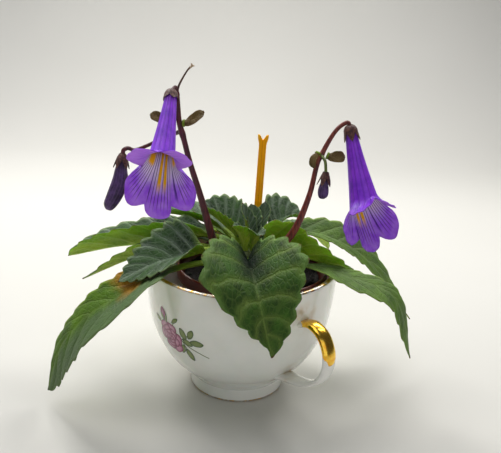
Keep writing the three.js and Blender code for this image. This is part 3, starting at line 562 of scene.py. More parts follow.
# %% Shapes of the spray
STEM_POINTS = 24
STEM_HALF_WIDTH = 0.22
ROSE_MIDDLE = (-2.4, 33.2)
ROSE_SLANT = -52
ROSE_STRETCH = (1.3, 0.85)
ROSE_RINGS = [(6, 4.1, 5.8), (5, 2.8, 4.7), (4, 1.6, 3.6), (3, 0.7, 2.4)]
BUD_PETALS = [(3.4, 5.4), (2.5, 4.6), (1.4, 3.6)]
ROSE_INK, LEAF_INK, STEM_INK = range(3)
SPRAY_LEAVES = [
    (4.6, 36.8, 5.6, 3.0, 118), (8.2, 37.6, 5.0, 2.7, 62), (10.6, 34.2, 6.4, 3.0, 5),
    (6.4, 33.4, 5.0, 2.6, -20), (6.6, 27.6, 6.2, 3.0, -68), (3.6, 29.6, 4.8, 2.6, -110),
    (-9.9, 38.8, 4.4, 2.0, 150), (0.6, 41.2, 4.6, 1.8, 40),
]
SPRAY_STEMS = [
    [(-4.4, 39.6), (-2.4, 38.0), (0.8, 36.2), (3.4, 33.6), (7.2, 31.4), (11.4, 29.8), (15.0, 28.4)],
    [(3.4, 33.6), (5.2, 35.4), (6.6, 36.4)],
    [(4.2, 32.8), (5.4, 30.6), (6.0, 29.4)],
    [(-1.2, 37.4), (-0.4, 39.4), (0.4, 40.6)],
]
print("leaves in the spray", len(SPRAY_LEAVES), "and stems", len(SPRAY_STEMS))


# %% Parts of the spray
def spray_stem(route):
    middle = along([(*p, 0) for p in route], np.linspace(0, 1, STEM_POINTS))[:, :2]
    way = unit(np.gradient(middle, axis=0))
    aside = np.stack([-way[:, 1], way[:, 0]], axis=-1) * STEM_HALF_WIDTH
    marks = three_marks(np.array([[0.0], [1.0]]), np.linspace(0, 1, STEM_POINTS), 0.0)
    return np.stack([middle - aside, middle + aside]), marks, 0.0, STEM_INK, False


def spray_bud():
    """Three petals that lie over each other, with a narrow green sepal on each side."""
    shapes = []
    for k, (width, length) in enumerate(BUD_PETALS):
        middle = (-6.2 - 0.15 * k, 42.3 + 0.1 * k)
        grid, marks = motif(oval(middle, length, width, 112 - 6 * k, power=1.15), middle)
        marks[..., 2] = 0.25 + 0.3 * k
        shapes.append((grid, marks, 0.04 + 0.01 * k, ROSE_INK, True))
    for side in (-1, 1):
        middle = (-5.5 + 1.1 * side, 40.6)
        grid, marks = motif(oval(middle, 4.2, 1.3, 108 - 18 * side, power=1.4), middle)
        shapes.append((grid, marks, 0.08, LEAF_INK, True))
    return shapes


def rose_petal(ring, k):
    """One petal of a ring; the rings inside lie over the ones outside and are tinted deeper."""
    count, out, size = ROSE_RINGS[ring]
    turn = 2 * math.pi * (k + 0.37 * ring) / count
    slant = math.radians(ROSE_SLANT)
    dx, dy = ROSE_STRETCH[0] * out * math.cos(turn), ROSE_STRETCH[1] * out * math.sin(turn)
    x = ROSE_MIDDLE[0] + dx * math.cos(slant) - dy * math.sin(slant)
    y = ROSE_MIDDLE[1] + dx * math.sin(slant) + dy * math.cos(slant)
    facing = math.degrees(math.atan2(y - ROSE_MIDDLE[1], x - ROSE_MIDDLE[0])) + 90
    grid, marks = motif(oval((x, y), size, size * 0.72, facing, power=0.8, wave=0.05), (x, y))
    marks[..., 2] = 0.2 * ring + 0.06 * k
    return grid, marks, 0.05 + 0.012 * ring + 0.002 * k, ROSE_INK, True


def spray_shapes():
    """Every printed shape as (rings, marks, lift, ink number, whether its rings close)."""
    shapes = [spray_stem(route) for route in SPRAY_STEMS]
    for x, y, length, width, degrees in SPRAY_LEAVES:
        grid, marks = motif(oval((x, y), length, width, degrees, power=1.35, wave=0.04), (x, y))
        shapes.append((grid, marks, 0.02, LEAF_INK, True))
    shapes += spray_bud()
    shapes += [rose_petal(ring, k) for ring in range(len(ROSE_RINGS)) for k in range(ROSE_RINGS[ring][0])]
    return shapes


print("shapes in the spray", len(spray_shapes()))

# %% Printing the spray
def print_material(name, pale, deep, edge):
    """Ink on glaze: pale in the middle of each shape, deep towards its outline, with the screen's dots."""
    material, tree = new_material(name)
    share, _, tint = attribute(tree, "print")
    dots = cloudy(place(tree), 3.2, 1.0)
    shade = share * share + tint * 0.55 + (dots - 0.5) * 0.5
    body = blend(soft_step(shade, 0.05, 0.95), pale, deep)
    base = blend(soft_step(share, 0.84, 0.97) * 0.65, body, edge)
    return finish_surface(material, Base_Color=base, Roughness=0.14, Coat_Weight=0.5, Coat_Roughness=0.05)


def add_spray():
    points, faces, slots, marks = [], [], [], []
    for grid, mark, lift, ink, closed in spray_shapes():
        start = sum(len(p) for p in points)
        rows, columns = grid.shape[:2]
        points.append(on_cup(grid, SPRAY_LIFT + lift).reshape(-1, 3))
        marks.append(mark.reshape(-1, 3))
        made = grid_faces(rows, columns, start, closed=closed)
        faces += made
        slots += [ink] * len(made)
    inks = [
        print_material("ink_rose", "#d090b0", "#8c2c60", "#501438"),
        print_material("ink_leaf", "#7c8c4c", "#46602c", "#22341a"),
        print_material("ink_stem", "#66743c", "#4a5a30", "#34421f"),
    ]
    return add_piece(
        "cup_rose_print", np.concatenate(points), faces, inks, "cup", "porcelain",
        face_slots=slots, attributes={"print": np.concatenate(marks)},
    )


spray = add_spray()
print("transfer faces", len(spray.data.polygons))

# %% [markdown]
# Inside the cup stands a round nursery pot of thin dark red-brown plastic, set a little to one side so that
# a dark gap shows beside it. Such pots are vacuum formed or moulded with a stiff outer lip. A lathe of its
# outline gives the lip its small round edge, and the plastic lets a little light through where it is thin.

# %% Nursery pot
POT_RADIUS = 31.7
POT_BASE_RADIUS = 18.8
POT_WALL = 1.0
POT_BASE = 13.0
POT_TOP = 55.0
POT_LIP = 5.0
POT_STEP = 1.6
POT_OFFSET = 4.4


def pot_material():
    material, tree = new_material("pot_plastic")
    position = place(tree)
    dust = soft_step(cloudy(position, 0.9, 6.0), 0.55, 0.8)
    body = blend(cloudy(position, 0.12, 3.0), "#4c1d15", "#642a1c")
    return finish_surface(
        material, bump=cloudy(position, 2.5, 3.0), distance=0.03,
        Base_Color=blend(dust * 0.35, body, "#8a6a55"), Roughness=mix_value(dust, 0.32, 0.6),
        Subsurface_Weight=0.2, Subsurface_Scale=0.003, Subsurface_Radius=(1.0, 0.25, 0.1),
    )


def pot_outline():
    waist = POT_RADIUS - POT_STEP
    lip_bottom = POT_TOP - POT_LIP
    half = POT_WALL / 2
    outside = [(0, POT_BASE), (POT_BASE_RADIUS - 1, POT_BASE), (POT_BASE_RADIUS, POT_BASE + 0.8)]
    lip = [
        (waist, lip_bottom - 0.3), (waist + 0.4, lip_bottom),
        (POT_RADIUS - 0.2, lip_bottom), (POT_RADIUS, lip_bottom + 0.3),
    ]
    top = arc((POT_RADIUS - half, POT_TOP - half), half, 0, 180, 8)
    inside = [
        (POT_RADIUS - POT_WALL, lip_bottom + 1), (waist - POT_WALL, lip_bottom - 0.5),
        (POT_BASE_RADIUS - POT_WALL, POT_BASE + POT_WALL), (0, POT_BASE + POT_WALL),
    ]
    return [*outside, *lip, *top, *inside]


pot = add_lathe(
    "nursery_pot_shell", pot_outline(), 120, [pot_material()], "nursery_pot", "pot_plastic",
    offset=(POT_OFFSET, 0), turn=True,
)
print("pot faces", len(pot.data.polygons))

# %% [markdown]
# The potting mix is nearly black, fibrous and crumbly. Its top is a disc of fine rings lifted by noise,
# with a few hundred small crumbs lying in it. The random places come from one seeded generator, so the soil
# is the same on each run.

# %% Soil
SOIL_EDGE = 50.5
SOIL_MIDDLE = 53.0
CROWN = (3.0, -2.0)
SOIL_RADIUS = POT_RADIUS - POT_STEP - POT_WALL - 0.9
random = np.random.default_rng(7)


def soil_height(x, y):
    """The height of the soil at a point that is measured from the pot's middle."""
    far = np.hypot(x - CROWN[0] + POT_OFFSET, y - CROWN[1])
    mound = mix(SOIL_MIDDLE, SOIL_EDGE, np.clip(far / (POT_RADIUS - POT_WALL), 0, 1))
    return mound + 0.5 * np.sin(x * 0.9 + 1) * np.cos(y * 1.1) + 0.35 * np.sin(x * 2.3 - y * 1.7)


def soil_material():
    material, tree = new_material("potting_soil")
    position = place(tree)
    fine = cloudy(position, 1.6, 8.0, 0.7)
    base = blend(soft_step(fine, 0.42, 0.72), "#0c0807", "#241812")
    base = blend(soft_step(cloudy(position, 2.6, 2.0), 0.74, 0.82), base, "#54402e")
    return finish_surface(material, bump=fine, distance=0.5, Base_Color=base, Roughness=0.92)


print("soil radius", round(SOIL_RADIUS, 1), "mm")


# %% Soil and crumbs
def crumb(middle, size, twist):
    """A small lump of eight faces whose corners are pushed in and out."""
    corners = np.array([(1, 0, 0), (0, 1, 0), (-1, 0, 0), (0, -1, 0), (0, 0, 1), (0, 0, -1)], float)
    corners = corners * (size * (0.6 + 0.8 * random.random((6, 1))))
    cos, sin = math.cos(twist), math.sin(twist)
    turned = corners @ np.array([[cos, sin, 0], [-sin, cos, 0], [0, 0, 0.7]])
    faces = [(0, 1, 4), (1, 2, 4), (2, 3, 4), (3, 0, 4), (1, 0, 5), (2, 1, 5), (3, 2, 5), (0, 3, 5)]
    return turned + middle, faces


def add_soil():
    rings, turns, crumbs = 46, 150, 420
    angle = round_angles(turns)
    share = np.linspace(1, 0.02, rings)
    x = SOIL_RADIUS * share[:, None] * np.cos(angle)
    y = SOIL_RADIUS * share[:, None] * np.sin(angle)
    height = soil_height(x, y)
    for r in range(rings):
        for c in range(turns):
            spot = Vector((x[r, c] * 0.8, y[r, c] * 0.8, 0))
            height[r, c] += 0.7 * noise.fractal(spot, 0.8, 2.1, 4) - 0.15
    top = np.stack([x, y, height], axis=-1)
    foot = POT_BASE + POT_WALL + 0.35
    foot_radius = POT_BASE_RADIUS - POT_WALL - 1.2
    foot_ring = lathe_grid([(foot_radius, foot)], turns)
    grid = np.concatenate([foot_ring, top])
    points = [grid.reshape(-1, 3)]
    faces = grid_faces(rings + 1, turns, closed=True, flip=True)
    faces += [list(range(turns))[::-1], list(range(rings * turns, (rings + 1) * turns))]
    for _ in range(crumbs):
        out = SOIL_RADIUS * 0.97 * math.sqrt(random.random())
        turn = 2 * math.pi * random.random()
        x0, y0 = out * math.cos(turn), out * math.sin(turn)
        size = 0.35 + 0.9 * random.random() ** 2
        start = sum(len(p) for p in points)
        lump, lump_faces = crumb((x0, y0, float(soil_height(x0, y0)) + 0.1), size, turn * 3)
        points.append(lump)
        faces += [[start + i for i in face] for face in lump_faces]
    points = np.concatenate(points)
    points[:, 0] += POT_OFFSET
    points = in_plant_frame(points)
    return add_piece("soil_surface", points, faces, [soil_material()], "soil", "soil", sharp=50)


soil = add_soil()
print("soil faces", len(soil.data.polygons))

# %% [markdown]
# A leaf of this kind is thick, quilted and softly hairy. Its upper side is dark green, and the youngest
# leaves carry silver along every vein of a fine net. The underside is bright green with raised veins, and
# the pointed teeth end in reddish tips. The blade is a grid along a given midrib. Each half has its
# own width and fold, just as in the solid, and here the grid is fine enough to cut the teeth and to sink
# the veins.

# %% Leaf outline
TOOTH_RISE = 0.7
LEAF_DEFAULTS = dict(
    peak=0.3, base=0.3, point=1.6, blunt=0.9, lean=((0, 25), (0, 25)), roll=(0, 0),
    tooth=1.6, teeth=8, stalk=0.25, open=1, quilt=0.35,
)


def sided(value, on_left):
    """A value that both halves share, or a pair for the left and the right half."""
    return value[0 if on_left else 1] if isinstance(value, (tuple, list)) else value


def blade_spread(leaf, u, on_left):
    """How wide a half of the blade is along its length, as a share of its full width."""
    peak = sided(leaf["peak"], on_left)
    rising = mix(1, sided(leaf["base"], on_left), (1 - np.minimum(u, peak) / peak) ** 2)
    beyond = np.clip((u - peak) / (1 - peak), 0, 1)
    falling = (1 - beyond ** sided(leaf["point"], on_left)) ** sided(leaf["blunt"], on_left)
    return np.where(u < peak, rising, falling)


def tooth_height(u, teeth):
    """Pointed teeth that lean forward: each rises slowly to its point, then drops to a sharp notch."""
    phase = (u * teeth) % 1
    swelling = np.minimum(1, phase / TOOTH_RISE) ** 0.75
    dropping = (1 - np.clip((phase - TOOTH_RISE) / (1 - TOOTH_RISE), 0, 1)) ** 1.3
    height = np.where(phase < TOOTH_RISE, swelling, dropping)
    return np.where((u > 0) & (u < 1), height, 0)


print("a whole leaf has", LEAF_DEFAULTS["teeth"], "teeth along each edge")

# %% Leaf grid
STALK_HALF_WIDTH = 1.5
STALK_BLEND = 0.25
STALK_ROWS = 14
ROWS_PER_TOOTH = 8
HALF_COLUMNS = 12
NARROWEST_HALF = 0.45
FULL_TOOTH_WIDTH = 6.0
FULL_FOLD_WIDTH = 5.0


def leaf_grid(leaf):
    """The blade's middle surface, and what the shader needs to know at each of its points."""
    stalk, teeth = leaf["stalk"], leaf["teeth"]
    on_stalk = np.linspace(0, stalk, STALK_ROWS, endpoint=False)
    t = np.concatenate([on_stalk, np.linspace(stalk, 1, teeth * ROWS_PER_TOOTH + 1)])
    u = np.clip((t - stalk) / (1 - stalk), 0, 1)
    centre = along(leaf["rib"], t)
    ahead = heading(leaf["rib"], t)
    reach = np.array(leaf["rib"][-1], float) - np.array(leaf["rib"][0], float)
    reach[2] = 0
    level = np.cross([0, 0, 1], unit(reach))
    left = unit(level - ahead * (ahead @ level)[:, None])
    up = np.cross(ahead, left)
    roll = np.radians(mix(leaf["roll"][0], leaf["roll"][1], t))[:, None]
    left, up = left * np.cos(roll) + up * np.sin(roll), up * np.cos(roll) - left * np.sin(roll)
    columns = np.arange(-HALF_COLUMNS, HALF_COLUMNS + 1) / HALF_COLUMNS
    onto_blade = ease((t - (1 - STALK_BLEND) * stalk) / (STALK_BLEND * stalk))
    rows = []
    for column in columns:
        on_left, v = column > 0, abs(column)
        half = leaf["left"] if on_left else leaf["right"]
        folds = leaf["fold_left"] if on_left else leaf["fold_right"]
        blade = np.maximum(NARROWEST_HALF, half * blade_spread(leaf, u, on_left))
        tooth = leaf["tooth"] * tooth_height(u, teeth) * np.minimum(1, blade / FULL_TOOTH_WIDTH)
        blade = blade + tooth * v**3
        width = mix(STALK_HALF_WIDTH, blade, onto_blade)
        at_base, at_tip = sided(leaf["lean"], on_left)
        lean = np.radians(mix(at_tip, at_base, (1 - u) ** 3)) * onto_blade
        fold = np.radians(mix(folds[0], folds[1], ease(u / leaf["open"]))) * ease(width / FULL_FOLD_WIDTH)
        flat = width * v * np.cos(fold)
        point = centre + left * (np.sign(column) * flat * np.cos(lean))[:, None]
        point = point + ahead * (flat * np.sin(lean))[:, None] + up * (width * v * np.sin(fold))[:, None]
        rows.append((point, width * column))
    grid = np.stack([point for point, _ in rows], axis=1)
    width = np.stack([across for _, across in rows], axis=1)
    length = np.concatenate([[0], np.cumsum(np.linalg.norm(np.diff(centre, axis=0), axis=1))])
    return grid, width, u, columns, length, onto_blade


print("points across a leaf", 2 * HALF_COLUMNS + 1)

# %% Leaf veins and thickness
SIDE_VEINS = 6.5
VEIN_SWEEP = 0.2
VEIN_GROOVE = 0.13
RIB_GROOVE = 1.1
FULL_QUILT_WIDTH = 9.0
STALK_THICKNESS = 2.2
BLADE_THICKNESS = 0.6
RIB_HALF_WIDTH = 2.2
EDGE_SHARE = 0.45


def vein_distance(u, v):
    """How far a point is from the nearest side vein, in steps from one vein to the next."""
    phase = (u - VEIN_SWEEP * v**1.3) * SIDE_VEINS
    return np.abs(phase - np.round(phase))


def quilting(leaf, width, u, columns, onto_blade):
    """How far each point is lifted off the blade's middle surface: down at the veins, up between them."""
    v = np.abs(columns)[None, :]
    side = np.exp(-((vein_distance(u[:, None], v) / VEIN_GROOVE) ** 2)) * ease(v / 0.12)
    rib = np.exp(-((np.abs(width) / RIB_GROOVE) ** 2))
    room = np.minimum(1, np.abs(width).max(axis=1) / FULL_QUILT_WIDTH)[:, None]
    puff = 0.45 * (1 - np.maximum(side, rib)) * np.cos(np.pi / 2 * np.maximum(0, v - 0.5) * 1.6)
    sunk = np.maximum(side * (1 - 0.5 * v), rib)
    return onto_blade[:, None] * leaf["quilt"] * room * (puff - sunk)


def blade_thickness(width, u, columns, onto_blade):
    """Thick along the midrib, thin at the edge, and round on the stalk."""
    v = np.abs(columns)[None, :]
    rib = mix(STALK_THICKNESS * 0.8, BLADE_THICKNESS, ease(u * 1.6))[:, None]
    thick = mix(rib, BLADE_THICKNESS, ease(np.abs(width) / RIB_HALF_WIDTH))
    thick = thick * mix(1, EDGE_SHARE, v**2)
    round_stalk = STALK_THICKNESS * np.sqrt(np.maximum(0.04, 1 - v**2))
    return mix(round_stalk, thick, onto_blade[:, None])


print("a leaf is", BLADE_THICKNESS, "mm thick, and", BLADE_THICKNESS * EDGE_SHARE, "mm at its edge")

# %% Leaf piece
LEAF_APART = 140.0


def border_faces(rows, count, below):
    """The narrow faces round a sheet's border, from its top points to the points below them."""
    border = [r * count for r in range(rows - 1)]
    border += [(rows - 1) * count + c for c in range(count - 1)]
    border += [r * count + count - 1 for r in range(rows - 1, 0, -1)]
    border += list(range(count - 1, 0, -1))
    return [[b, a, a + below, b + below] for a, b in zip(border, border[1:] + border[:1])]


def add_leaf(name, spec, materials, node, number):
    leaf = {**LEAF_DEFAULTS, **spec}
    grid, width, u, columns, length, onto_blade = leaf_grid(leaf)
    grid = grid + grid_normals(grid) * quilting(leaf, width, u, columns, onto_blade)[..., None]
    half = grid_normals(grid) * (blade_thickness(width, u, columns, onto_blade) / 2)[..., None]
    rows, count = grid.shape[:2]
    below = rows * count
    top_faces = grid_faces(rows, count)
    under_faces = grid_faces(rows, count, below, flip=True)
    edge_faces = border_faces(rows, count, below)
    slots = [0] * len(top_faces) + [1] * len(under_faces) + [0] * len(edge_faces)
    teeth = tooth_height(u, leaf["teeth"])[:, None] * np.abs(columns)[None, :] ** 6
    blade = three_marks(columns[None, :], u[:, None], onto_blade[:, None])
    spot = three_marks(width, length[:, None] + LEAF_APART * number, teeth)
    points = in_plant_frame(np.concatenate([(grid + half).reshape(-1, 3), (grid - half).reshape(-1, 3)]))
    return add_piece(
        name, points, top_faces + under_faces + edge_faces, materials, node, "leaf", face_slots=slots,
        attributes={"blade": np.concatenate([blade] * 2), "spot": np.concatenate([spot] * 2)},
    )


print("the net of each leaf is drawn", LEAF_APART, "mm from the last one's")

# %% [markdown]
# The leaf shader works in two measures that the mesh carries: the place on the blade, from edge to edge and
# from base to tip, and the place in millimetres. The first draws the midrib and the side veins. The second
# feeds a cell pattern whose edges are the fine net. A cell pattern is used because real leaf nets close
# into small cells. Silver, dark and edge colours differ between young and old leaves, so they are
# arguments.

# %% Net, veins and patches
def cell_net(spot, scale, width):
    """The lines between the cells of a cell pattern."""
    inputs = {"Vector": spot, "Scale": scale, "Randomness": 1.0}
    edge = add_node(tree_of(spot), "TexVoronoi", inputs, "Distance", feature="DISTANCE_TO_EDGE")
    return soft_step(edge, width, 0.0)


def vein_masks(across, along_blade, spot):
    """Soft masks of the side veins, of the wide band along each, and of the net between them."""
    sweep = abs(across) ** 1.3 * VEIN_SWEEP
    wobble = (cloudy(spot, 0.22, 2.0) - 0.5) * 0.05
    phase = (along_blade - sweep + wobble) * SIDE_VEINS
    apart = abs(phase - round(phase))
    return soft_step(apart, 0.085, 0.02), soft_step(apart, 0.34, 0.0), cell_net(spot, 0.5, 0.17)


def flat_place(width, length, layer):
    """A place on the flattened leaf, in millimetres. The layer keeps the noises of its two sides apart."""
    return add_node(tree_of(width), "CombineXYZ", {0: width, 1: length, 2: layer})


def dying_patch(base, patch, across, along_blade, flat):
    """A patch on one half of an old leaf, scorched where it begins and then yellow-brown."""
    first, last, tone = patch
    spread = along_blade + cloudy(flat, 0.3, 3.0) * 0.1
    one_half = soft_step(across, 0.55, 0.1)
    scorched = soft_step(spread, first + 0.05, first - 0.03) * one_half
    base = blend(scorched * 0.8, base, "#38260f")
    inside = soft_step(spread, first, first + 0.06) * soft_step(spread, last, last - 0.12) * one_half
    return blend(inside * 0.85, base, tone)


print("side veins on each half of a leaf", int(SIDE_VEINS))


# %% Leaf finishes
def leaf_top_material(name, dark, green, silver, shine, edge="#6f8a55", patch=None, painted_shade=None, painted_sheen=None):
    material, tree = new_material(name)
    across, along_blade, blade = attribute(tree, "blade")
    width, length, tooth = attribute(tree, "spot")
    flat = flat_place(width, length, 0.0)
    from_rib = abs(width)
    side, band, net = vein_masks(across, along_blade, flat)
    patches = cloudy(flat, 0.12, 4.0)
    body = blend(soft_step(patches, 0.3, 0.72), dark, green)
    veins = calc("MAXIMUM", net * 0.32, calc("MAXIMUM", side, soft_step(from_rib, 0.75, 0.2)))
    halo = calc("MAXIMUM", band * 0.75, soft_step(from_rib, 3.2, 0.3) * 0.5)
    halo = halo + cell_net(flat, 1.0, 0.2) * 0.12
    silvery = calc("MAXIMUM", veins, halo) * mix_value(soft_step(patches, 0.7, 0.35), 0.5, 1.0)
    base = blend(silvery * shine, body, silver)
    # Painted shade: the inner half of the blade near the midrib is darkened almost to black, where the crown
    # and the leaves above it shade it.
    if painted_shade:
        inner = soft_step(along_blade, 0.5, 0.08) * soft_step(from_rib, 15.0, 3.0)
        base = blend(inner * 0.92, base, painted_shade)
    base = blend(soft_step(abs(across), 0.86, 0.99) * 0.6, base, edge)
    base = blend(soft_step(tooth, 0.72, 0.97) * 0.75, base, "#6b3b25")
    base = blend(soft_step(along_blade, 0.975, 0.998), base, "#5a2a1c")
    # Painted sheen: one half of the blade is greyed, as the hairs on it catch the light at a grazing angle.
    if painted_sheen:
        base = blend(soft_step(across, 0.0, 0.45) * 0.7, base, painted_sheen)
    if patch:
        base = dying_patch(base, patch, across, along_blade, flat)
    base = blend(soft_step(cloudy(flat, 3.5, 1.0), 0.76, 0.8) * 0.5, base, "#c9cdbb")
    base = blend(1.0 - blade, base, "#7a9430")
    return finish_surface(
        material, bump=side * -0.6 + net * -0.3 + cloudy(flat, 2.2, 4.0) * 0.35, distance=0.35,
        Base_Color=base, Roughness=mix_value(patches, 0.42, 0.6), Specular_IOR_Level=0.12,
        Subsurface_Weight=0.06, Subsurface_Scale=0.001, Subsurface_Radius=(0.4, 1.0, 0.2),
    )


def leaf_under_material(name, pale, deep):
    material, tree = new_material(name)
    across, along_blade, _ = attribute(tree, "blade")
    width, length, tooth = attribute(tree, "spot")
    flat = flat_place(width, length, 3.0)
    side, _, net = vein_masks(across, along_blade, flat)
    body = blend(soft_step(cloudy(flat, 0.15, 4.0), 0.3, 0.7), pale, deep)
    veins = calc("MAXIMUM", net * 0.45, calc("MAXIMUM", side, soft_step(abs(width), 1.0, 0.3)))
    base = blend(veins * 0.45, body, "#b0c25c")
    base = blend(soft_step(tooth, 0.7, 0.97) * 0.85, base, "#6b3320")
    return finish_surface(
        material, bump=veins * 0.7 + cloudy(flat, 2.0, 4.0) * 0.3, distance=0.3,
        Base_Color=base, Roughness=0.55, Specular_IOR_Level=0.3,
        Subsurface_Weight=0.25, Subsurface_Scale=0.0015, Subsurface_Radius=(0.5, 1.0, 0.1),
    )


YOUNG = [
    leaf_top_material("leaf_young", "#22361e", "#3c5c2e", "#9aac96", 0.62, edge="#7c9460"),
    leaf_under_material("leaf_under_lime", "#98b02c", "#74961e"),
]
# The front leaf takes painted shade near its base, along the midrib.
FRONT = [
    leaf_top_material(
        "leaf_front_top", "#223818", "#3a5e20", "#90aa54", 0.45, edge="#6c8c48", painted_shade="#0c1616",
    ),
    leaf_under_material("leaf_front_under", "#98b02c", "#74961e"),
]
PLAIN = [
    leaf_top_material("leaf_plain", "#42602a", "#648438", "#98a878", 0.3, edge="#84a048"),
    leaf_under_material("leaf_under_pale", "#98ac3c", "#70902a"),
]
# The old leaves' greyed half is a painted sheen.
OLD = [
    leaf_top_material(
        "leaf_old", "#3a5a16", "#5a7e20", "#98a868", 0.2, edge="#86a03c", patch=(0.16, 0.34, "#ac7420"),
        painted_sheen="#5a6e50",
    ),
    leaf_under_material("leaf_under_old", "#98a848", "#6e8430"),
]
print("leaf finishes", [m.name for pair in (YOUNG, FRONT, PLAIN, OLD) for m in pair])

# %% [markdown]
# Fourteen leaves stand round the crown, and five small ones are still unfolding in its middle. Their
# midribs and folds are those of the solids. A leaf is told by its midrib, by each half's width and fold,
# and by where it is widest and how pointed it ends. The big front leaf hangs over the rim towards the
# camera, and the leaves behind, which the photograph hides, go on round in the same spiral.

# %% The leaves
LEAVES = {
    "leaf_front": (FRONT, dict(
        rib=[(2.5, -7.5, 58.5), (2.5, -17.5, 61.8), (6, -37, 59.5), (9.5, -47, 50), (13, -50, 38.5)],
        left=22.2, right=24, fold_left=(42, 20), fold_right=(41, 3.6), peak=0.46, base=0.3,
        point=0.8, blunt=(0.73, 1.7), lean=((-65, -20), (-65, -4)), tooth=2.3, teeth=10)),
    "leaf_left_silver": (YOUNG, dict(
        rib=[
            (-1.5, -6.5, 60), (-13, -9.5, 63.5), (-23, -16, 62.5), (-34.5, -23.5, 61.5), (-46.5, -28, 55.5)],
        left=8, right=14.5, fold_left=(45, -12), fold_right=(60, 28), tooth=2.2, stalk=0.4, peak=0.16,
        base=0.85, lean=((-5, 30), (-5, 30)), open=0.6, point=(2, 1.15))),
    "leaf_left_long": (OLD, dict(
        rib=[
            (-2, -7, 56.5), (-17, -15, 59.5), (-33, -25, 57.5), (-47, -31, 50), (-60, -32, 40.5),
            (-70, -30, 26), (-75.5, -29, 7)],
        left=16, right=10.5, fold_left=(15, -8), fold_right=(28, 0), roll=(0, -12), stalk=0.3, peak=0.35,
        teeth=9, open=0.6, point=(2.6, 1.4))),
    "leaf_left_far": (YOUNG, dict(
        rib=[(-3, 0, 61), (-15, 6, 64.5), (-36.5, 11, 58.5), (-58, 13.4, 54.2), (-77.2, 12.6, 49.1)],
        left=10.5, right=12, fold_left=(64, 42), fold_right=(50, 22), stalk=0.3, base=0.45, teeth=7,
        tooth=1.9, point=3.1, blunt=0.8)),
    "leaf_left_narrow": (PLAIN, dict(
        rib=[(-3, 1.5, 56.5), (-16, 3.5, 60), (-33, 3, 59.6), (-50.5, 3, 52), (-68.5, 3, 42.5)],
        left=5.5, right=6.5, fold_left=(60, 45), fold_right=(28, 10), stalk=0.4, peak=0.4, teeth=6)),
    "leaf_right_far": (PLAIN, dict(
        rib=[(8.5, 2.5, 59), (20.5, 9.5, 66.3), (40, 15, 62), (58.5, 20, 49.5), (80, 24, 21.5)],
        left=11, right=5, fold_left=(40, 34), fold_right=(0, -30), stalk=0.3, base=0.4, peak=0.4, teeth=9,
        point=(1.6, 2.8), open=0.6)),
    "leaf_right_long": (PLAIN, dict(
        rib=[(9, -3.5, 55.5), (22.5, -10.2, 59.6), (41, -14.8, 57.2), (62, -17.5, 50), (70.5, -20, 25)],
        left=6, right=8, fold_left=(18, 8), fold_right=(10, -15), stalk=0.32, peak=0.45, open=0.5, point=2)),
    "leaf_right_near": (YOUNG, dict(
        rib=[(9.6, -1.6, 61), (14, -1.8, 64), (23, -4.2, 61.7), (36.5, -6, 58), (51, -5, 52.5)],
        left=8.5, right=13, fold_left=(20, 8), fold_right=(74, 40), stalk=0.18, base=0.75, peak=0.25,
        point=1.2)),
    "leaf_back_right": (YOUNG, dict(
        rib=[(7, 2.6, 62), (12.3, 7.5, 68), (15.8, 13, 70.5), (21, 18.5, 71), (28, 23, 68)],
        left=11, right=5, fold_left=(60, 35), fold_right=(35, 10), stalk=0.28, base=0.3, teeth=6, tooth=2)),
    "leaf_back_left": (YOUNG, dict(
        rib=[(-1, 1.5, 62.5), (-3.5, 3.5, 66.5), (-7.5, 5.5, 69), (-13, 8, 72.5), (-19.5, 10, 76)],
        left=6.5, right=12.5, fold_left=(60, 40), fold_right=(48, 35), stalk=0.2, base=0.6, peak=0.35,
        teeth=7, tooth=1.8, point=2)),
    "leaf_back_left_low": (YOUNG, dict(
        rib=[(-1, 3.5, 60), (-9.5, 11, 66.3), (-19.5, 19, 67), (-30.5, 27, 66.5), (-44, 33, 65)],
        left=8, right=10, fold_left=(40, 20), fold_right=(30, 20), base=0.5, peak=0.35, teeth=7)),
    "leaf_back": (PLAIN, dict(
        rib=[(2.6, 4.8, 57.5), (-3.5, 16, 60.3), (-8, 29, 61), (-12, 44, 60), (-14, 58, 46)],
        left=8, right=9.5, fold_left=(15, -8), fold_right=(15, -8), base=0.5, teeth=7)),
    "leaf_back_right_low": (YOUNG, dict(
        rib=[(6, 4.2, 56.6), (14.8, 14.3, 60.3), (24, 26, 61.5), (33, 38, 60), (42, 50, 45)],
        left=10, right=10, fold_left=(15, -8), fold_right=(15, -8), base=0.45, peak=0.35, teeth=7)),
    "leaf_back_left_outer": (OLD, dict(
        rib=[(0, 3.6, 55.6), (-13, 13, 59.4), (-27, 22, 60.8), (-38, 32, 58), (-45, 40.5, 44)],
        left=8.5, right=7.5, fold_left=(15, -8), fold_right=(15, -8), base=0.45, peak=0.35, teeth=7)),
}

for number, (name, (finish, shape)) in enumerate(LEAVES.items()):
    add_leaf(name + "_blade", shape, finish, name, number)
print("leaves", len(LEAVES))

# %% [markdown]
# The crown is the short stout stem that everything springs from. It is mostly hidden by stalks, so a lathed
# bulb with the young leaves standing on it is enough. The young leaves share one width and fold.

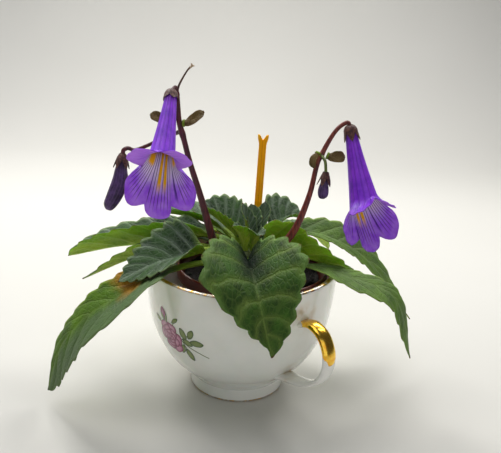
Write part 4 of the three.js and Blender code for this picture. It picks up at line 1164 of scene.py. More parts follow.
# %% Crown and centre leaves
CROWN_RADIUS = 6.5
CROWN_TOP = 63.0
CROWN_FOOT = 44.0
CENTRE_SHAPE = dict(
    left=4.2, right=4.2, fold_left=(55, 28), fold_right=(55, 28), stalk=0.3, base=0.6, peak=0.4, teeth=4,
    tooth=1.1, quilt=0.3,
)
CENTRE_RIBS = [
    [(3, -2, 60.5), (2.5, -1.5, 65), (1.5, 0, 70.5), (0, 1, 75.5), (-1, 1, 80.5)],
    [(4, -1, 60.5), (4.5, 0, 65), (4, 3, 70.5), (3.5, 5, 75), (2.5, 6, 79)],
    [(5, -1, 60), (6.5, 0.5, 65), (7.5, 5, 70), (8.5, 8, 75), (8.5, 9, 79.5)],
    [(4, -4, 60.5), (4.5, -5.5, 65), (5, -8, 69), (6, -10.5, 71), (7, -12, 71.5)],
    [(1.5, -4, 60), (0.5, -5, 65), (-1.5, -7, 70), (-3, -8, 72), (-4.5, -8, 73.5)],
]


def stem_material(name, dark, pale, greenness=0.0):
    """Fleshy, slightly hairy stems: dark maroon with paler lengthwise streaks, or green."""
    material, tree = new_material(name)
    stretched = add_node(tree, "Mapping", {"Vector": place(tree), "Scale": (1.0, 1.0, 0.12)})
    body = blend(soft_step(cloudy(stretched, 1.3, 4.0), 0.35, 0.7), dark, pale)
    return finish_surface(
        material, bump=cloudy(stretched, 6.0, 3.0), distance=0.12,
        Base_Color=blend(greenness, body, "#5d6d2c"), Roughness=0.42,
        Sheen_Weight=0.06, Sheen_Roughness=0.35,
    )


CROWN_OUTLINE = [
    (0, CROWN_FOOT), (2.5, CROWN_FOOT), (4.2, 47), (CROWN_RADIUS - 1.2, 50.5), (CROWN_RADIUS - 0.1, 55),
    (CROWN_RADIUS, 59), (CROWN_RADIUS - 0.8, 61), (CROWN_RADIUS - 2.6, 62.4), (2, CROWN_TOP - 0.3),
    (0, CROWN_TOP),
]
crown_outline = along([(r, 0, z) for r, z in CROWN_OUTLINE], np.linspace(0, 1, 40))[:, [0, 2]]
crown_outline = np.maximum(crown_outline, [0, 0])
crown_material = stem_material("crown_green", "#3c4a1e", "#5d6d2c", greenness=0.35)
add_lathe("crown_stump", crown_outline, 48, [crown_material], "crown", "stem", offset=CROWN, turn=True)
for number, rib in enumerate(CENTRE_RIBS):
    add_leaf(f"crown_leaf_{number + 1}", {**CENTRE_SHAPE, "rib": rib}, YOUNG, "crown", number)
print("crown and", len(CENTRE_RIBS), "centre leaves")

# %% [markdown]
# Two flower stems rise from the crown and nod at the top. They are dark maroon and taper from base to tip,
# and each has a joint where its bracts and bud stalk grow. A rod along a given curve with its own
# radius at each point is all it takes, and a small swelling at the joints keeps it from looking like wire.

# %% Rods
def rod_grid(path, radii, sides, steps, bumps=()):
    """Rings round a curve. Each bump is (place along it from 0 to 1, how much it swells, how long it is)."""
    t = np.linspace(0, 1, steps + 1)
    centre = along(path, t)
    ahead = heading(path, t)
    radius = along([(r, 0, 0) for r in radii], t)[:, 0]
    for middle, swell, length in bumps:
        radius = radius * (1 + swell * np.exp(-(((t - middle) / length) ** 2)))
    across = np.array([0.3, 1.0, 0.2])
    angle = round_angles(sides)
    rings = []
    for k in range(steps + 1):
        across = unit(across - ahead[k] * (across @ ahead[k]))
        other = np.cross(ahead[k], across)
        spokes = np.outer(np.cos(angle), across) + np.outer(np.sin(angle), other)
        rings.append(centre[k] + radius[k] * spokes)
    return np.array(rings)


def add_tube(name, grid, t, material, node, slot):
    """Rings as one closed piece that knows, at each point, how far along and how far round it is."""
    rings, sides = grid.shape[:2]
    marks = three_marks(t[:, None], np.arange(sides)[None, :] / sides, 0.0)
    faces = capped_faces(rings, sides, flip=True)
    return add_piece(name, in_plant_frame(grid), faces, [material], node, slot, attributes={"rod": marks})


def add_rod(name, path, radii, sides, steps, material, node, slot, bumps=()):
    grid = rod_grid(path, radii, sides, steps, bumps)
    return add_tube(name, grid, np.linspace(0, 1, steps + 1), material, node, slot)


print("faces of a rod with 110 steps and 20 sides", len(capped_faces(111, 20)))

# %% Flower stems
STEM_LEFT = [
    (-5.5, -2, 55), (-9, -2.5, 58), (-12.5, -3, 65.5), (-18, -4, 84), (-22.5, -5, 98), (-25, -5, 107),
    (-27, -5, 114), (-27.5, -5.2, 120), (-27.9, -5, 124.4), (-28.5, -5.6, 127), (-29.6, -7.9, 126.3),
]
STEM_RIGHT = [
    (7, -7, 57.5), (12, -9.6, 62.5), (18, -10, 70), (22, -10, 78), (25.5, -8, 89), (27.5, -6, 100),
    (29.5, -5, 105), (32, -4.5, 110.3), (34.2, -4.5, 114), (36.3, -4.5, 116.1), (38.2, -4.7, 117),
    (38.9, -5.1, 116),
]
STYLE = [(-28.1, -5.3, 124.4), (-27.3, -4.4, 128), (-24.6, -5, 133), (-23, -5, 135)]
BUD_STALK_LEFT = [
    (-26.2, -4.8, 110.3), (-33, 1.5, 106.5), (-41, 4, 102), (-46, 4.2, 100), (-48.6, 3.9, 100.6),
    (-50.3, 3.6, 99.9), (-50.7, 3.2, 98.4),
]
BUD_STALK_RIGHT = [(28.8, -5.5, 104), (30.3, -8, 102.2), (30.7, -9.4, 99.5), (30.8, -9.6, 98)]

stem_dark = stem_material("stem_maroon", "#3c141c", "#6c2630")
stem_red = stem_material("stem_red_brown", "#541c1a", "#8e3c2c")
add_rod(
    "stem_left", STEM_LEFT, [1.9, 1.8, 1.7, 1.35, 1.15, 1.1, 1.1, 0.9, 0.85, 0.85, 0.8], 20, 110, stem_dark,
    "flower_stem_left", "stem", bumps=[(0.53, 0.2, 0.02), (0.8, 0.12, 0.015)],
)
add_rod(
    "stem_right", STEM_RIGHT, [1.7, 1.7, 1.6, 1.35, 1.1, 1, 1, 0.9, 0.85, 0.85, 0.85, 0.8], 20, 110,
    stem_red, "flower_stem_right", "stem", bumps=[(0.52, 0.25, 0.02)],
)
style_material = stem_material("dried_style", "#3a2420", "#6d4a37")
add_rod(
    "dried_style_left", STYLE, [0.6, 0.42, 0.34, 0.4], 12, 24, style_material,
    "flower_stem_left", "stem",
)
fork_material = stem_material("dried_style_tip", "#b89a78", "#d8c4a4")
for number, end in enumerate([(-21.6, -5, 135.5), (-22.7, -5, 136.3)]):
    fork = [(-23.3, -5, 134.6), (-22.6, -5, 135.3), end]
    add_rod(
        f"dried_style_tip_{number + 1}", fork, [0.4, 0.4, 0.28], 10, 10, fork_material,
        "flower_stem_left", "stem",
    )
add_rod(
    "bud_stalk_left", BUD_STALK_LEFT, [0.9, 0.8, 0.75, 0.75, 0.85, 0.9, 0.9], 16, 50, stem_dark,
    "flower_stem_left", "stem",
)
green_stalk = stem_material("bud_stalk_green", "#4c5a28", "#6d7d38")
add_rod(
    "bud_stalk_right", BUD_STALK_RIGHT, [0.7, 0.6, 0.6, 0.6], 14, 20, green_stalk,
    "flower_stem_right", "stem",
)
print("pieces with the stems", len(made_pieces))

# %% [markdown]
# Each flower is one fused corolla: a tube that widens to a slanted mouth with five lobes. The two short
# upper lobes spread to the sides, and the three long lower ones hang on as a lip. Each lobe is told by its
# tip and by the notches beside it, measured from the mouth, and every line along the tube bends over to its
# own point of that edge. The rows past the mouth are dense, because the eye judges a petal by its round
# edge.

# %% Corolla tube
BELL_LEFT = dict(
    foot=(-29.7, -8.8, 125), mouth=(-30.6, -23.4, 104.2), lip=(-0.1, -1, 0.2),
    foot_radius=2.2, mouth_radius=4.8, swell=1.2, belly=0.05, rounding=(3.2, 2.4, 2.4, 2.4, 3.2),
    notches=[(1.7, 6.2, 0.1), (5.8, 2.1, 6.1), (17.1, -6.4, 6), (16.6, -8.7, -3.6), (5.9, 1, -6.5)],
    tips=[(2.8, 7.3, 10.1), (14.5, -1.9, 12.7), (22.1, -7.8, 0.3), (13.7, -8, -12.6), (2.1, 3.8, -10.4)],
)
BELL_RIGHT = dict(
    foot=(39.3, -5.4, 114.6), mouth=(45.7, -9.1, 89.4), lip=(0.6, -1, 0),
    foot_radius=2.3, mouth_radius=5.4, swell=1.35, belly=0.03, rounding=(2.8, 2.4, 2, 2.4, 2.4),
    notches=[(1, 6.7, -0.2), (4.1, 1.2, 8.1), (16.4, -0.5, 4.3), (17.2, 2.4, -2.9), (5.1, 3.5, -6.5)],
    tips=[(3.8, 8.3, 8.7), (14.4, -0.8, 11.1), (22.2, 3.6, 2.7), (15.7, 7, -9.2), (5.5, 10.2, -6.7)],
)


def bell_frame(bell):
    foot, mouth = np.array(bell["foot"], float), np.array(bell["mouth"], float)
    length = np.linalg.norm(mouth - foot)
    down = (mouth - foot) / length
    lip = np.array(bell["lip"], float)
    lip = unit(lip - down * (lip @ down))
    return foot, length, down, lip, np.cross(down, lip)


def tube_points(bell, degrees, s):
    foot, length, down, lip, side = bell_frame(bell)
    angle = np.radians(degrees)
    outward = np.cos(angle)[..., None] * lip + np.sin(angle)[..., None] * side
    radius = mix(bell["foot_radius"], bell["mouth_radius"], s ** bell["swell"])
    points = foot + down * (s * length)[..., None] + lip * (bell["belly"] * s * s * length)[..., None]
    return points + outward * radius[..., None]


for side, bell in (("left", BELL_LEFT), ("right", BELL_RIGHT)):
    print(side, "bell's tube is", round(float(bell_frame(bell)[1]), 1), "mm long")

# %% Corolla lobes
LOBE_SPAN = 72
LOBE_BULGE = 0.2
LOBE_HOLD = 0.3
NEAR_MOUTH = 0.96
CREASE = 0.5
RUFFLE = 0.22
RUFFLES = 15


def lobe_edge(bell, degrees):
    """The lobes' edge at each angle: from a notch out round a tip and in to the next notch."""
    foot, length, down, lip, side = bell_frame(bell)
    axes = np.array([down, lip, side])
    notches, tips = np.array(bell["notches"], float) @ axes, np.array(bell["tips"], float) @ axes
    turn = np.mod(degrees, 360)
    lobe = np.minimum(4, (turn / LOBE_SPAN).astype(int))
    across = (2 * turn / LOBE_SPAN - 2 * lobe - 1)[..., None]
    before, after = notches[lobe], notches[(lobe + 1) % 5]
    middle = (before + after) / 2
    widened = 0.5 * across * (1 + LOBE_BULGE * (1 - across * across))
    rounding = np.sqrt(np.maximum(0, 1 - np.abs(across) ** np.array(bell["rounding"])[lobe][..., None]))
    centre = foot + down * length + lip * bell["belly"] * length
    return centre + middle + (after - before) * widened + (tips[lobe] - middle) * rounding


def bell_points(bell, degrees, row):
    """Points of the bell's outer side, by angle and by row: 0 at the foot, 1 at the mouth, 2 at the edge."""
    tube = tube_points(bell, degrees, np.minimum(1, row))
    mouth = tube_points(bell, degrees, np.ones_like(row))
    onward = unit(mouth - tube_points(bell, degrees, np.full_like(row, NEAR_MOUTH)))
    edge = lobe_edge(bell, degrees)
    bend = mouth + onward * LOBE_HOLD * np.linalg.norm(edge - mouth, axis=-1, keepdims=True)
    t = np.maximum(0, row - 1)[..., None]
    lobes = (1 - t) ** 2 * mouth + 2 * t * (1 - t) * bend + t * t * edge
    return np.where(row[..., None] <= 1, tube, lobes)


def ruffled(grid, degrees, row):
    """Lobes that are not quite flat: a low ridge down the middle of each, and edges that wave a little."""
    share = np.maximum(0, row - 1)
    across = np.mod(degrees / LOBE_SPAN, 1) * 2 - 1
    crease = CREASE * share * (0.5 - across**2)
    wave = RUFFLE * share**3 * np.sin(np.radians(degrees) * RUFFLES) * (1 - across**4)
    return grid + grid_normals(grid, closed=True) * (wave + crease)[..., None]



print("the left lip's tip is at", lobe_edge(BELL_LEFT, np.array([180.0]))[0].round(1))

# %% [markdown]
# The petals are violet outside and on the upper lobes. Inside the lower lip the throat is almost white,
# with dark purple veins that fan out into the violet, and with yellow-orange patches at the mouth. Every
# vein is a line of equal angle, so a wave over the stored angle draws all of them, and the stored row fades
# them out.

# %% Outside of the petals
def petal_outside_material():
    material, tree = new_material("petal_outside")
    turn, row, _ = attribute(tree, "petal")
    position = place(tree)
    lines = soft_step(waves(turn, 15), 0.3, 1.0)
    body = blend(soft_step(cloudy(position, 0.25, 3.0), 0.3, 0.7), "#9a40f0", "#7c2cd8")
    base = blend(lines * 0.22, body, "#4a1690")
    base = blend(soft_step(row, 0.22, 0.0) * 0.7, base, "#42204c")
    # Painted light: the lobes grow paler towards their edges, as light from above and behind comes through
    # the thin petal.
    base = blend(soft_step(row, 1.8, 2.0) * 0.25, base, "#a868e0")
    return finish_surface(
        material, bump=lines * 1.2 + cloudy(position, 3.0, 3.0) * 0.4, distance=0.15,
        Base_Color=base, Roughness=0.42, Specular_IOR_Level=0.4,
        Subsurface_Weight=0.15, Subsurface_Scale=0.0015, Subsurface_Radius=(0.6, 0.2, 1.0),
    )


PETAL_OUTSIDE = petal_outside_material()
print("material", PETAL_OUTSIDE.name, "with", len(PETAL_OUTSIDE.node_tree.nodes), "nodes")


# %% Inside of the petals
def throat_yellow(turn, row, from_lip):
    """Two ridges down the middle of the lip, and a patch on each side of the mouth."""
    near_mouth = soft_step(row, 1.72, 1.4) * soft_step(row, 0.7, 0.95)
    ridges = soft_step(waves(turn, 18, -math.pi / 2), -0.4, 0.05) * near_mouth
    ridges = ridges * soft_step(from_lip, 24.0, 16.0)
    beside = soft_step(from_lip, 40.0, 52.0) * soft_step(from_lip, 92.0, 76.0)
    beside = beside * soft_step(row, 1.3, 1.16) * soft_step(row, 0.8, 1.0)
    return calc("MAXIMUM", calc("MINIMUM", ridges * 1.4, 1.0), beside)


def petal_inside_material():
    material, tree = new_material("petal_inside")
    turn, row, _ = attribute(tree, "petal")
    position = place(tree)
    from_lip = abs(turn * 360.0 - 180.0)
    lower = soft_step(from_lip, 112.0, 96.0)
    upper = 1.0 - lower
    wander = (cloudy(position, 0.35, 2.0) - 0.5) * 0.5
    wave = waves(turn, 40, wander)
    veins = soft_step(wave, mix_value(soft_step(row, 1.1, 1.8), 0.2, 0.6), 1.0)
    veins = veins * soft_step(row, 1.97, 1.75) * lower
    throat = soft_step(row + wander * 0.3, 1.78, 1.3)
    base = blend(soft_step(cloudy(position, 0.3, 3.0), 0.3, 0.7), "#9a52f0", "#b47cf8")
    base = blend(throat * lower, base, "#eadcf8")
    base = blend(veins * 0.92, base, "#401080")
    base = blend(throat_yellow(turn, row, from_lip), base, "#ffc010")
    base = blend(soft_step(row, 1.02, 0.86) * lower * 0.7, base, "#9a4a14")
    # Painted light: the upper lobes are made paler, where light from above and behind falls on them.
    base = blend(upper * 0.6, base, "#c890f8")
    fine = soft_step(wave, 0.1, 0.9) * soft_step(row, 1.95, 1.4)
    base = blend(fine * upper * 0.5, base, "#5a22a0")
    return finish_surface(
        material, bump=veins * -0.4 + cloudy(position, 3.0, 3.0) * 0.4, distance=0.12,
        Base_Color=base, Roughness=0.5, Specular_IOR_Level=0.3,
        Subsurface_Weight=0.15, Subsurface_Scale=0.0015, Subsurface_Radius=(0.8, 0.5, 1.0),
    )


PETAL_INSIDE = petal_inside_material()
print("material", PETAL_INSIDE.name, "with", len(PETAL_INSIDE.node_tree.nodes), "nodes")

# %% [markdown]
# The corolla is a thin shell: an outer and an inner skin, joined round the lobes' edge and closed at the
# foot. Giving it a real thickness, and not just one skin, lets light glow through the lobes and keeps its
# edge round.

# %% The corollas
TUBE_ROWS = 26
LOBE_ROWS = 34
BELL_COLUMNS = 180
PETAL_THICKNESS = 0.5
EDGE_THICKNESS = 0.28


def add_shell(name, outer, inner, materials, node, slot, attributes, slots=(0, 1, 0)):
    """Two stacks of rings joined round their last rows and capped at their first."""
    columns = outer.shape[1]
    base = outer.shape[0] * columns
    faces = grid_faces(outer.shape[0], columns, closed=True, flip=True)
    face_slots = [slots[0]] * len(faces)
    inside = grid_faces(inner.shape[0], columns, base, closed=True)
    faces += inside
    face_slots += [slots[1]] * len(inside)
    rim_out = base - columns
    rim_in = base + (inner.shape[0] - 1) * columns
    for c in range(columns):
        d = (c + 1) % columns
        faces.append([rim_out + d, rim_out + c, rim_in + c, rim_in + d])
        face_slots.append(slots[2])
    faces += [list(range(columns)), list(range(base, base + columns))[::-1]]
    face_slots += [slots[0], slots[1]]
    points = np.concatenate([outer.reshape(-1, 3), inner.reshape(-1, 3)])
    return add_piece(
        name, in_plant_frame(points), faces, materials, node, slot,
        face_slots=face_slots, attributes=attributes,
    )


def add_corolla(side, bell):
    rows = np.concatenate([np.linspace(0, 1, TUBE_ROWS), 1 + np.linspace(0, 1, LOBE_ROWS + 1)[1:] ** 0.85])
    degrees = np.arange(BELL_COLUMNS) * 360 / BELL_COLUMNS
    degree_grid, row_grid = np.meshgrid(degrees, rows)
    outer = ruffled(bell_points(bell, degree_grid, row_grid), degree_grid, row_grid)
    inward = grid_normals(outer, closed=True)
    thin = mix(PETAL_THICKNESS, EDGE_THICKNESS, ease(row_grid - 1))
    inner = (outer + inward * thin[..., None])[1:]
    across = np.mod(degree_grid / LOBE_SPAN, 1) * 2 - 1
    marks = np.stack([degree_grid / 360, row_grid, across], axis=-1)
    marks = np.concatenate([marks.reshape(-1, 3), marks[1:].reshape(-1, 3)])
    return add_shell(
        f"flower_{side}_bell", outer, inner, [PETAL_OUTSIDE, PETAL_INSIDE],
        f"flower_{side}_corolla", "petal", {"petal": marks},
    )


for side, bell in (("left", BELL_LEFT), ("right", BELL_RIGHT)):
    made = add_corolla(side, bell)
    print(made.name, len(made.data.polygons), "faces")

# %% [markdown]
# Five narrow sepals grip the foot of each bell, and smaller ones the foot of each bud. They are one little
# cup whose edge runs down in five points, drawn by the same shell as the corolla with a zigzag for its last
# rows.

# %% Sepals
SEPAL_COLUMNS = 90
SEPAL_HOLD = 1.2
SEPAL_THICKNESS = 0.3
SEPAL_CLEARANCE = 0.02
SEPAL_FLARE = 0.3
STALK_END_RADIUS = 0.7
CAP_THICKNESS = 0.35


def sepal_material():
    material, tree = new_material("sepal")
    position = place(tree)
    base = blend(soft_step(cloudy(position, 1.1, 4.0), 0.35, 0.7), "#3a1a1c", "#6e4236")
    return finish_surface(
        material, bump=cloudy(position, 5.0, 3.0), distance=0.15, Base_Color=base, Roughness=0.55,
        Sheen_Weight=0.08, Sheen_Roughness=0.4,
    )


SEPAL = sepal_material()


def add_sepals(name, bell, length, cap, node):
    """A cup over the foot of a bell, which starts a cap's height above it and runs down in five points."""
    foot, tube_length, down, lip, side = bell_frame(bell)
    turn = np.arange(SEPAL_COLUMNS) / SEPAL_COLUMNS
    angle = turn * 2 * math.pi
    outward = np.cos(angle)[:, None] * lip + np.sin(angle)[:, None] * side
    point = 1 - np.abs((turn * 5) % 1 - 0.5) * 2

    def ring(row, grow):
        cupped, beyond = min(row, 1), max(0, row - 1)
        low = mix(-cap, SEPAL_HOLD, cupped) + beyond * length * point**0.9
        s = np.clip(low / tube_length, 0, 1)
        tube = mix(bell["foot_radius"], bell["mouth_radius"], s ** bell["swell"])
        radius = mix(STALK_END_RADIUS, tube + 0.1, math.sqrt(min(1, cupped * 1.6)))
        radius = radius + grow + beyond * SEPAL_FLARE * point
        centre = foot + down * low[:, None] + lip * (bell["belly"] * s * s * tube_length)[:, None]
        return centre + outward * radius[:, None]

    rows = [0, 0.15, 0.3, 0.45, 0.7, *np.linspace(1, 2, 12)]
    outer = np.array([ring(row, SEPAL_THICKNESS + SEPAL_CLEARANCE) for row in rows])
    floor_row = (cap - CAP_THICKNESS) / (cap + SEPAL_HOLD)
    inner = [ring(floor_row, 0.15)] + [ring(row, SEPAL_CLEARANCE) for row in rows if row >= 1]
    return add_shell(name, outer, np.array(inner), [SEPAL], node, "sepal", None, slots=(0, 0, 0))


for side, bell, length in (("left", BELL_LEFT, 1.5), ("right", BELL_RIGHT, 3.4)):
    add_sepals(f"flower_{side}_calyx", bell, length, 1.8, f"flower_{side}_sepals")
print("pieces with the flowers' sepals", len(made_pieces))

# %% [markdown]
# Inside each bell a slim pale style ends in a small two-lobed stigma. It is a rod that stays close to the
# lower side of the tube, with a swelling near its tip.

# %% Pistils
def pistil_material():
    material, tree = new_material("pistil")
    position = place(tree)
    base = blend(cloudy(position, 0.8, 2.0), "#e8e0ea", "#c9b5d8")
    return finish_surface(
        material, bump=cloudy(position, 4.0), distance=0.06, Base_Color=base, Roughness=0.45,
        Subsurface_Weight=0.3, Subsurface_Scale=0.001,
    )


pistil_finish = pistil_material()
for side, bell in (("left", BELL_LEFT), ("right", BELL_RIGHT)):
    foot, length, down, lip, _ = bell_frame(bell)
    reach = length * 0.78
    stations = ((6, 0.3), (reach * 0.5, 1), (reach * 0.8, 1.9), (reach, 2.2))
    path = [foot + down * d + lip * h for d, h in stations]
    add_rod(
        f"flower_{side}_style", path, [0.65, 0.55, 0.5, 0.8], 14, 40, pistil_finish,
        f"flower_{side}_pistil", "pistil", bumps=[(0.97, 0.2, 0.03)],
    )
    print(side, "style reaches", round(float(reach), 1), "mm down the tube")

# %% [markdown]
# The left bud is a long curved bag, dark purple with a bloom of grey hairs, and the right one is a small
# round one. Folded petals show as faint seams down a bud, so each ring is drawn in a little at five places.

# %% Buds
def bud_material():
    material, tree = new_material("bud")
    t, turn, _ = attribute(tree, "rod")
    position = place(tree)
    body = blend(soft_step(cloudy(position, 0.35, 3.0), 0.3, 0.7), "#2c1a3c", "#5a3c78")
    base = blend(soft_step(waves(turn, 16), 0.2, 1.0) * 0.4, body, "#6e5088")
    base = blend(soft_step(t, 0.3, 0.0), base, "#2f2022")
    return finish_surface(
        material, bump=cloudy(position, 4.0, 4.0), distance=0.15, Base_Color=base, Roughness=0.5,
        Sheen_Weight=0.12, Sheen_Roughness=0.35,
    )


BUD_LEFT = [
    (-50.8, 3, 97.4), (-51.2, 2, 92), (-51.6, 1, 87), (-53.6, 0, 81.5), (-55.8, -0.5, 77.3), (-57, -1, 75.6),
]
BUD_RIGHT = [
    (30.8, -9.7, 97.1), (30.6, -10, 94), (30.4, -10.2, 91), (30.4, -10.2, 88.7), (30.5, -10.2, 87.5),
]
SEAM_DEPTH = 0.07
SEAM_WIDTH = 0.1
ROUNDED_FROM = 0.9
BUD_FINISH = bud_material()


def add_bud(name, path, radii, node):
    sides, steps = 50, 60
    grid = rod_grid(path, radii, sides, steps)
    t = np.linspace(0, 1, steps + 1)
    centre = along(path, t)[:, None]
    turn = np.arange(sides) / sides
    seam = 1 - SEAM_DEPTH * np.exp(-((np.abs((turn * 5) % 1 - 0.5) / SEAM_WIDTH) ** 2))
    near_tip = np.clip((t - ROUNDED_FROM) / (1 - ROUNDED_FROM), 0, 1)
    rounding = np.sqrt(1 - near_tip**2)
    grid = centre + (grid - centre) * seam[None, :, None] * np.maximum(0.15, rounding)[:, None, None]
    return add_tube(name, grid, t, BUD_FINISH, node, "bud")


def bud_bell(path, radius):
    """The foot of a bud, written as the foot of a bell, so that the same sepals fit it."""
    start = np.array(path[0], float)
    ahead = unit(np.array(path[1], float) - start)
    return dict(
        foot=start - 0.1 * ahead, mouth=start + 12 * ahead, lip=(0.2, -1, 0),
        foot_radius=radius, mouth_radius=radius + 2.6, swell=0.8, belly=0,
    )


add_bud("bud_left_bag", BUD_LEFT, [1.2, 2.5, 3.3, 3.2, 2.5, 1.2], "bud_left")
add_bud("bud_right_bag", BUD_RIGHT, [0.9, 1.5, 2.1, 1.9, 0.9], "bud_right")
add_sepals("bud_left_calyx", bud_bell(BUD_LEFT, 1.5), 4, 1.1, "bud_left_sepals")
add_sepals("bud_right_calyx", bud_bell(BUD_RIGHT, 1.1), 3.2, 1.1, "bud_right_sepals")
print("pieces with the buds", len(made_pieces))

# %% [markdown]
# Where a stem bends it carries a pair of bracts, which are tiny leaves. They use the leaf function with few
# teeth, and their own brown-green finish.

# %% Bracts
BRACT_SHAPE = dict(
    left=2.1, right=2.1, fold_left=(40, 10), fold_right=(40, 10), teeth=2, tooth=0.3, stalk=0.12, base=0.5,
    peak=0.5, point=2.4, quilt=0.12,
)
BRACTS = {
    "bract_left_inner": dict(
        roll=(-50, -50), left=2.4, right=2.4,
        rib=[(-28.9, -6, 113.5), (-31.5, -6, 114.2), (-34, -6, 115), (-36, -6, 115.8), (-38, -6, 116.5)]),
    "bract_left_outer": dict(
        roll=(50, 50), left=2.4, right=2.4,
        rib=[
            (-25.4, -5.5, 113.5), (-23.5, -6, 114), (-21.5, -6, 115.2),
            (-19.5, -6, 117), (-17.5, -6, 118.5)]),
    "bract_right_inner": dict(
        rib=[(27.6, -7.4, 105), (26.8, -8, 104.2), (26, -8.4, 102.8), (25.7, -8.6, 101), (26, -8.6, 99.4)]),
    "bract_right_outer": dict(
        roll=(50, 60), left=2.6, right=2.6,
        rib=[
            (31.2, -4.5, 103.6), (32.8, -5, 103.2), (34.6, -5, 103.2),
            (36.4, -5, 103.4), (38.2, -5, 103.8)]),
}
BRACT_FINISH = [
    leaf_top_material("bract_top", "#4c3c1e", "#6e5a30", "#8c7a50", 0.4, edge="#7c6236"),
    leaf_under_material("bract_under", "#6a6130", "#4a3c22"),
]
for number, (name, shape) in enumerate(BRACTS.items()):
    bract = add_leaf(name + "_blade", {**BRACT_SHAPE, **shape}, BRACT_FINISH, name, number)
print("bracts", len(BRACTS))

# %% [markdown]
# A yellow plastic stake stands behind the crown: the kind of stick that plant clips hook on to. It is flat,
# ribbed down its face, and forked at its top. Low ribs are cut into the section that is swept up the stick,
# and the shader draws a few dark lines along it. Towards the top the rows of points dip in
# the middle and spread at both edges, which makes the fork without a cut.

# %% Stake finish
STAKE_FOOT = np.array([4.3, 12.0, 22.0])
STAKE_LEAN = math.radians(1.2)
STAKE_LENGTH = 85.5
STAKE_HALF_WIDTH = 1.75
GROOVE_STEP = 1.15


def stake_material():
    material, tree = new_material("stake_plastic")
    position = place(tree)
    x, y, z = split(position)
    body = blend(cloudy(position, 0.15, 3.0), "#ffa600", "#ffcc10")
    base = blend(soft_step(cloudy(position, 1.4, 6.0), 0.62, 0.74) * 0.6, body, "#6d4310")
    sideways = x * math.cos(PLANT_TURN) + y * math.sin(PLANT_TURN) - z * math.sin(STAKE_LEAN)
    grooves = soft_step(waves(sideways, 1 / GROOVE_STEP), 0.6, 1.0)
    return finish_surface(
        material, bump=cloudy(position, 2.0, 4.0), distance=0.05,
        Base_Color=blend(grooves * 0.35, base, "#a05c08"), Roughness=0.45, Specular_IOR_Level=0.2,
        Subsurface_Weight=0.2, Subsurface_Scale=0.002, Subsurface_Radius=(1.0, 0.4, 0.02),
    )


print("the stake's dark grooves are", GROOVE_STEP, "mm apart")

# %% Stake
STAKE_THICKNESS = 1.8
STAKE_RIB = 0.16
FORK_DEPTH = 2.1
FORK_FLARE = 0.48
FORK_START = STAKE_LENGTH - 4.5


def stake_top(across):
    """The height of the stake's top edge, which dips between two prongs."""
    share = np.abs(across) / STAKE_HALF_WIDTH
    return STAKE_LENGTH - FORK_DEPTH * (1 - ease(share * 1.15))


def add_stake():
    columns, rows = 49, 90
    share = np.linspace(-1, 1, columns)
    across = share * STAKE_HALF_WIDTH * 0.97
    ribs = STAKE_RIB * np.cos(share * math.pi * 3.5) ** 2
    edge = np.sqrt(np.clip(1 - share**10, 0.05, 1))
    depth = (STAKE_THICKNESS / 2 - 0.18 + ribs) * edge
    t = np.linspace(0, 1, rows)[:, None] ** 0.7
    from_middle = np.abs(across / STAKE_HALF_WIDTH)
    height = 1.5 * (1 - t) * from_middle + stake_top(across) * t
    flare = 1 + FORK_FLARE * ease((height - FORK_START) / 3.8) * from_middle**2
    taper = mix(1.0, 0.93, height / STAKE_LENGTH)
    x = across * flare * taper
    front = np.stack([x, -depth + 0 * x, height], axis=-1)
    back = np.stack([x, depth + 0 * x, height], axis=-1)
    section = np.concatenate([front, back[:, ::-1]], axis=1)
    count = section.shape[1]
    cos, sin = math.cos(STAKE_LEAN), math.sin(STAKE_LEAN)
    leaned = section.copy()
    leaned[..., 0] = cos * section[..., 0] + sin * section[..., 2]
    leaned[..., 2] = cos * section[..., 2] - sin * section[..., 0]
    faces = grid_faces(rows, count, closed=True, flip=True)
    for row, turned in ((0, True), (rows - 1, False)):
        for c in range(columns - 1):
            quad = [row * count + i for i in (c, c + 1, count - 2 - c, count - 1 - c)]
            faces.append(quad[::-1] if turned else quad)
    points = in_plant_frame(leaned + STAKE_FOOT)
    return add_piece("stake_ribbed", points, faces, [stake_material()], "stake", "stake_plastic", sharp=40)


stake = add_stake()
print("stake faces", len(stake.data.polygons))

# %% [markdown]
# The stage is a pale sheet that runs along the table and curves up behind, as a photographer's paper roll
# does. Two small soft lights stand high behind the plant, one on each side, as two windows would, so that
# soft shadows fall forward to both sides. A large lamp washes the sheet behind, and a wide low fill in
# front on the right keeps the near side readable. The standard view transform shows the colours as they
# are, without a film-like curve.

# %% Floor
def paper_material():
    material, tree = new_material("paper_sheet")
    base = blend(cloudy(place(tree), 0.004, 2.0), "#cecdc8", "#d8d7d3")
    return finish_surface(material, Base_Color=base, Roughness=0.85, Specular_IOR_Level=0.2)


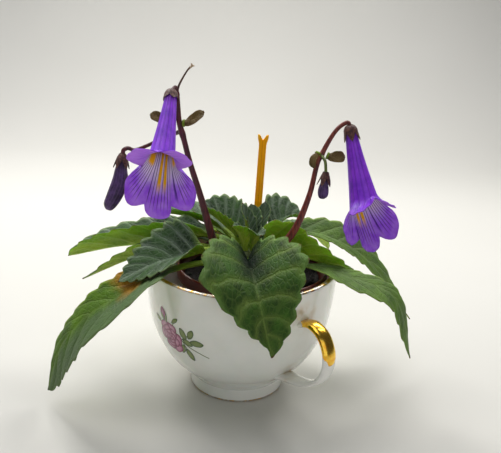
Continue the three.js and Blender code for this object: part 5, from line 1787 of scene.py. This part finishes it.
def add_paper():
    """A strip that lies flat, bends up through a quarter circle behind the plant and goes on as a wall."""
    near, far, bend, high, half = -900.0, 420.0, 260.0, 1300.0, 1600.0
    profile = [(near, 0.0), *arc((far, bend), bend, -90, 0, 24), (far + bend, high)]
    points = np.array([[(x, y, z) for x in (-half, half)] for y, z in profile])
    mesh = bpy.data.meshes.new("paper")
    points = in_plant_frame(points).reshape(-1, 3) * MM
    mesh.from_pydata(points.tolist(), [], grid_faces(len(profile), 2, flip=True))
    mesh.shade_smooth()
    mesh.materials.append(paper_material())
    paper = bpy.data.objects.new("paper", mesh)
    bpy.context.scene.collection.objects.link(paper)
    return paper


add_paper()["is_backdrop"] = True
print("floor and wall are one sheet")

# %% Lights
WARM = (1.0, 0.985, 0.95)
WHITE = (1.0, 1.0, 1.0)
LIGHTS = [
    ("key", (-230, 280, 480), (0, 10, 20), 0.24, 2.2, WARM),
    ("second", (250, 270, 470), (0, 10, 20), 0.24, 1.7, WARM),
    ("wall", (-330, 100, 900), (-330, 700, 340), 0.9, 5.0, WHITE),
    ("fill", (240, -640, 200), (0, 0, 80), 0.8, 1.6, (1.0, 0.99, 0.97)),
]


def add_light(name, place_mm, aim_mm, size, power, tint):
    light = bpy.data.lights.new(name, "AREA")
    light.shape = "SQUARE"
    light.size = size
    light.energy = power
    light.color = tint
    lamp = bpy.data.objects.new(name, light)
    bpy.context.scene.collection.objects.link(lamp)
    start, aim = (Vector(in_plant_frame(np.array(spot, float))) * MM for spot in (place_mm, aim_mm))
    turned = (aim - start).to_track_quat("-Z", "Y").to_matrix().to_4x4()
    lamp.matrix_world = Matrix.Translation(start) @ turned


for light in LIGHTS:
    add_light(*light)

world = bpy.data.worlds.new("studio")
bpy.context.scene.world = world
world.use_nodes = True
sky = world.node_tree.nodes["Background"]
sky.inputs["Color"].default_value = (0.93, 0.95, 1.0, 1.0)
sky.inputs["Strength"].default_value = 0.07
bpy.context.scene.view_settings.view_transform = "Standard"
print("lights", [o.name for o in bpy.context.scene.objects if o.type == "LIGHT"])

# %% [markdown]
# The part's box must stay the one that the solids gave it. Both boxes are printed so that they can be
# compared.

# %% Finish
visual_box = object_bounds()
sizes = {"cad": [list(corner) for corner in CAD_BOX], "visual": [list(corner) for corner in visual_box]}
for name, low, high in (("cad", *CAD_BOX), ("visual", *visual_box)):
    print(name, "box in mm", [round(v / MM, 1) for v in (*low, *high)])
print("pieces", len(made_pieces), "triangles", sum(len(p.data.loop_triangles) for p in made_pieces))
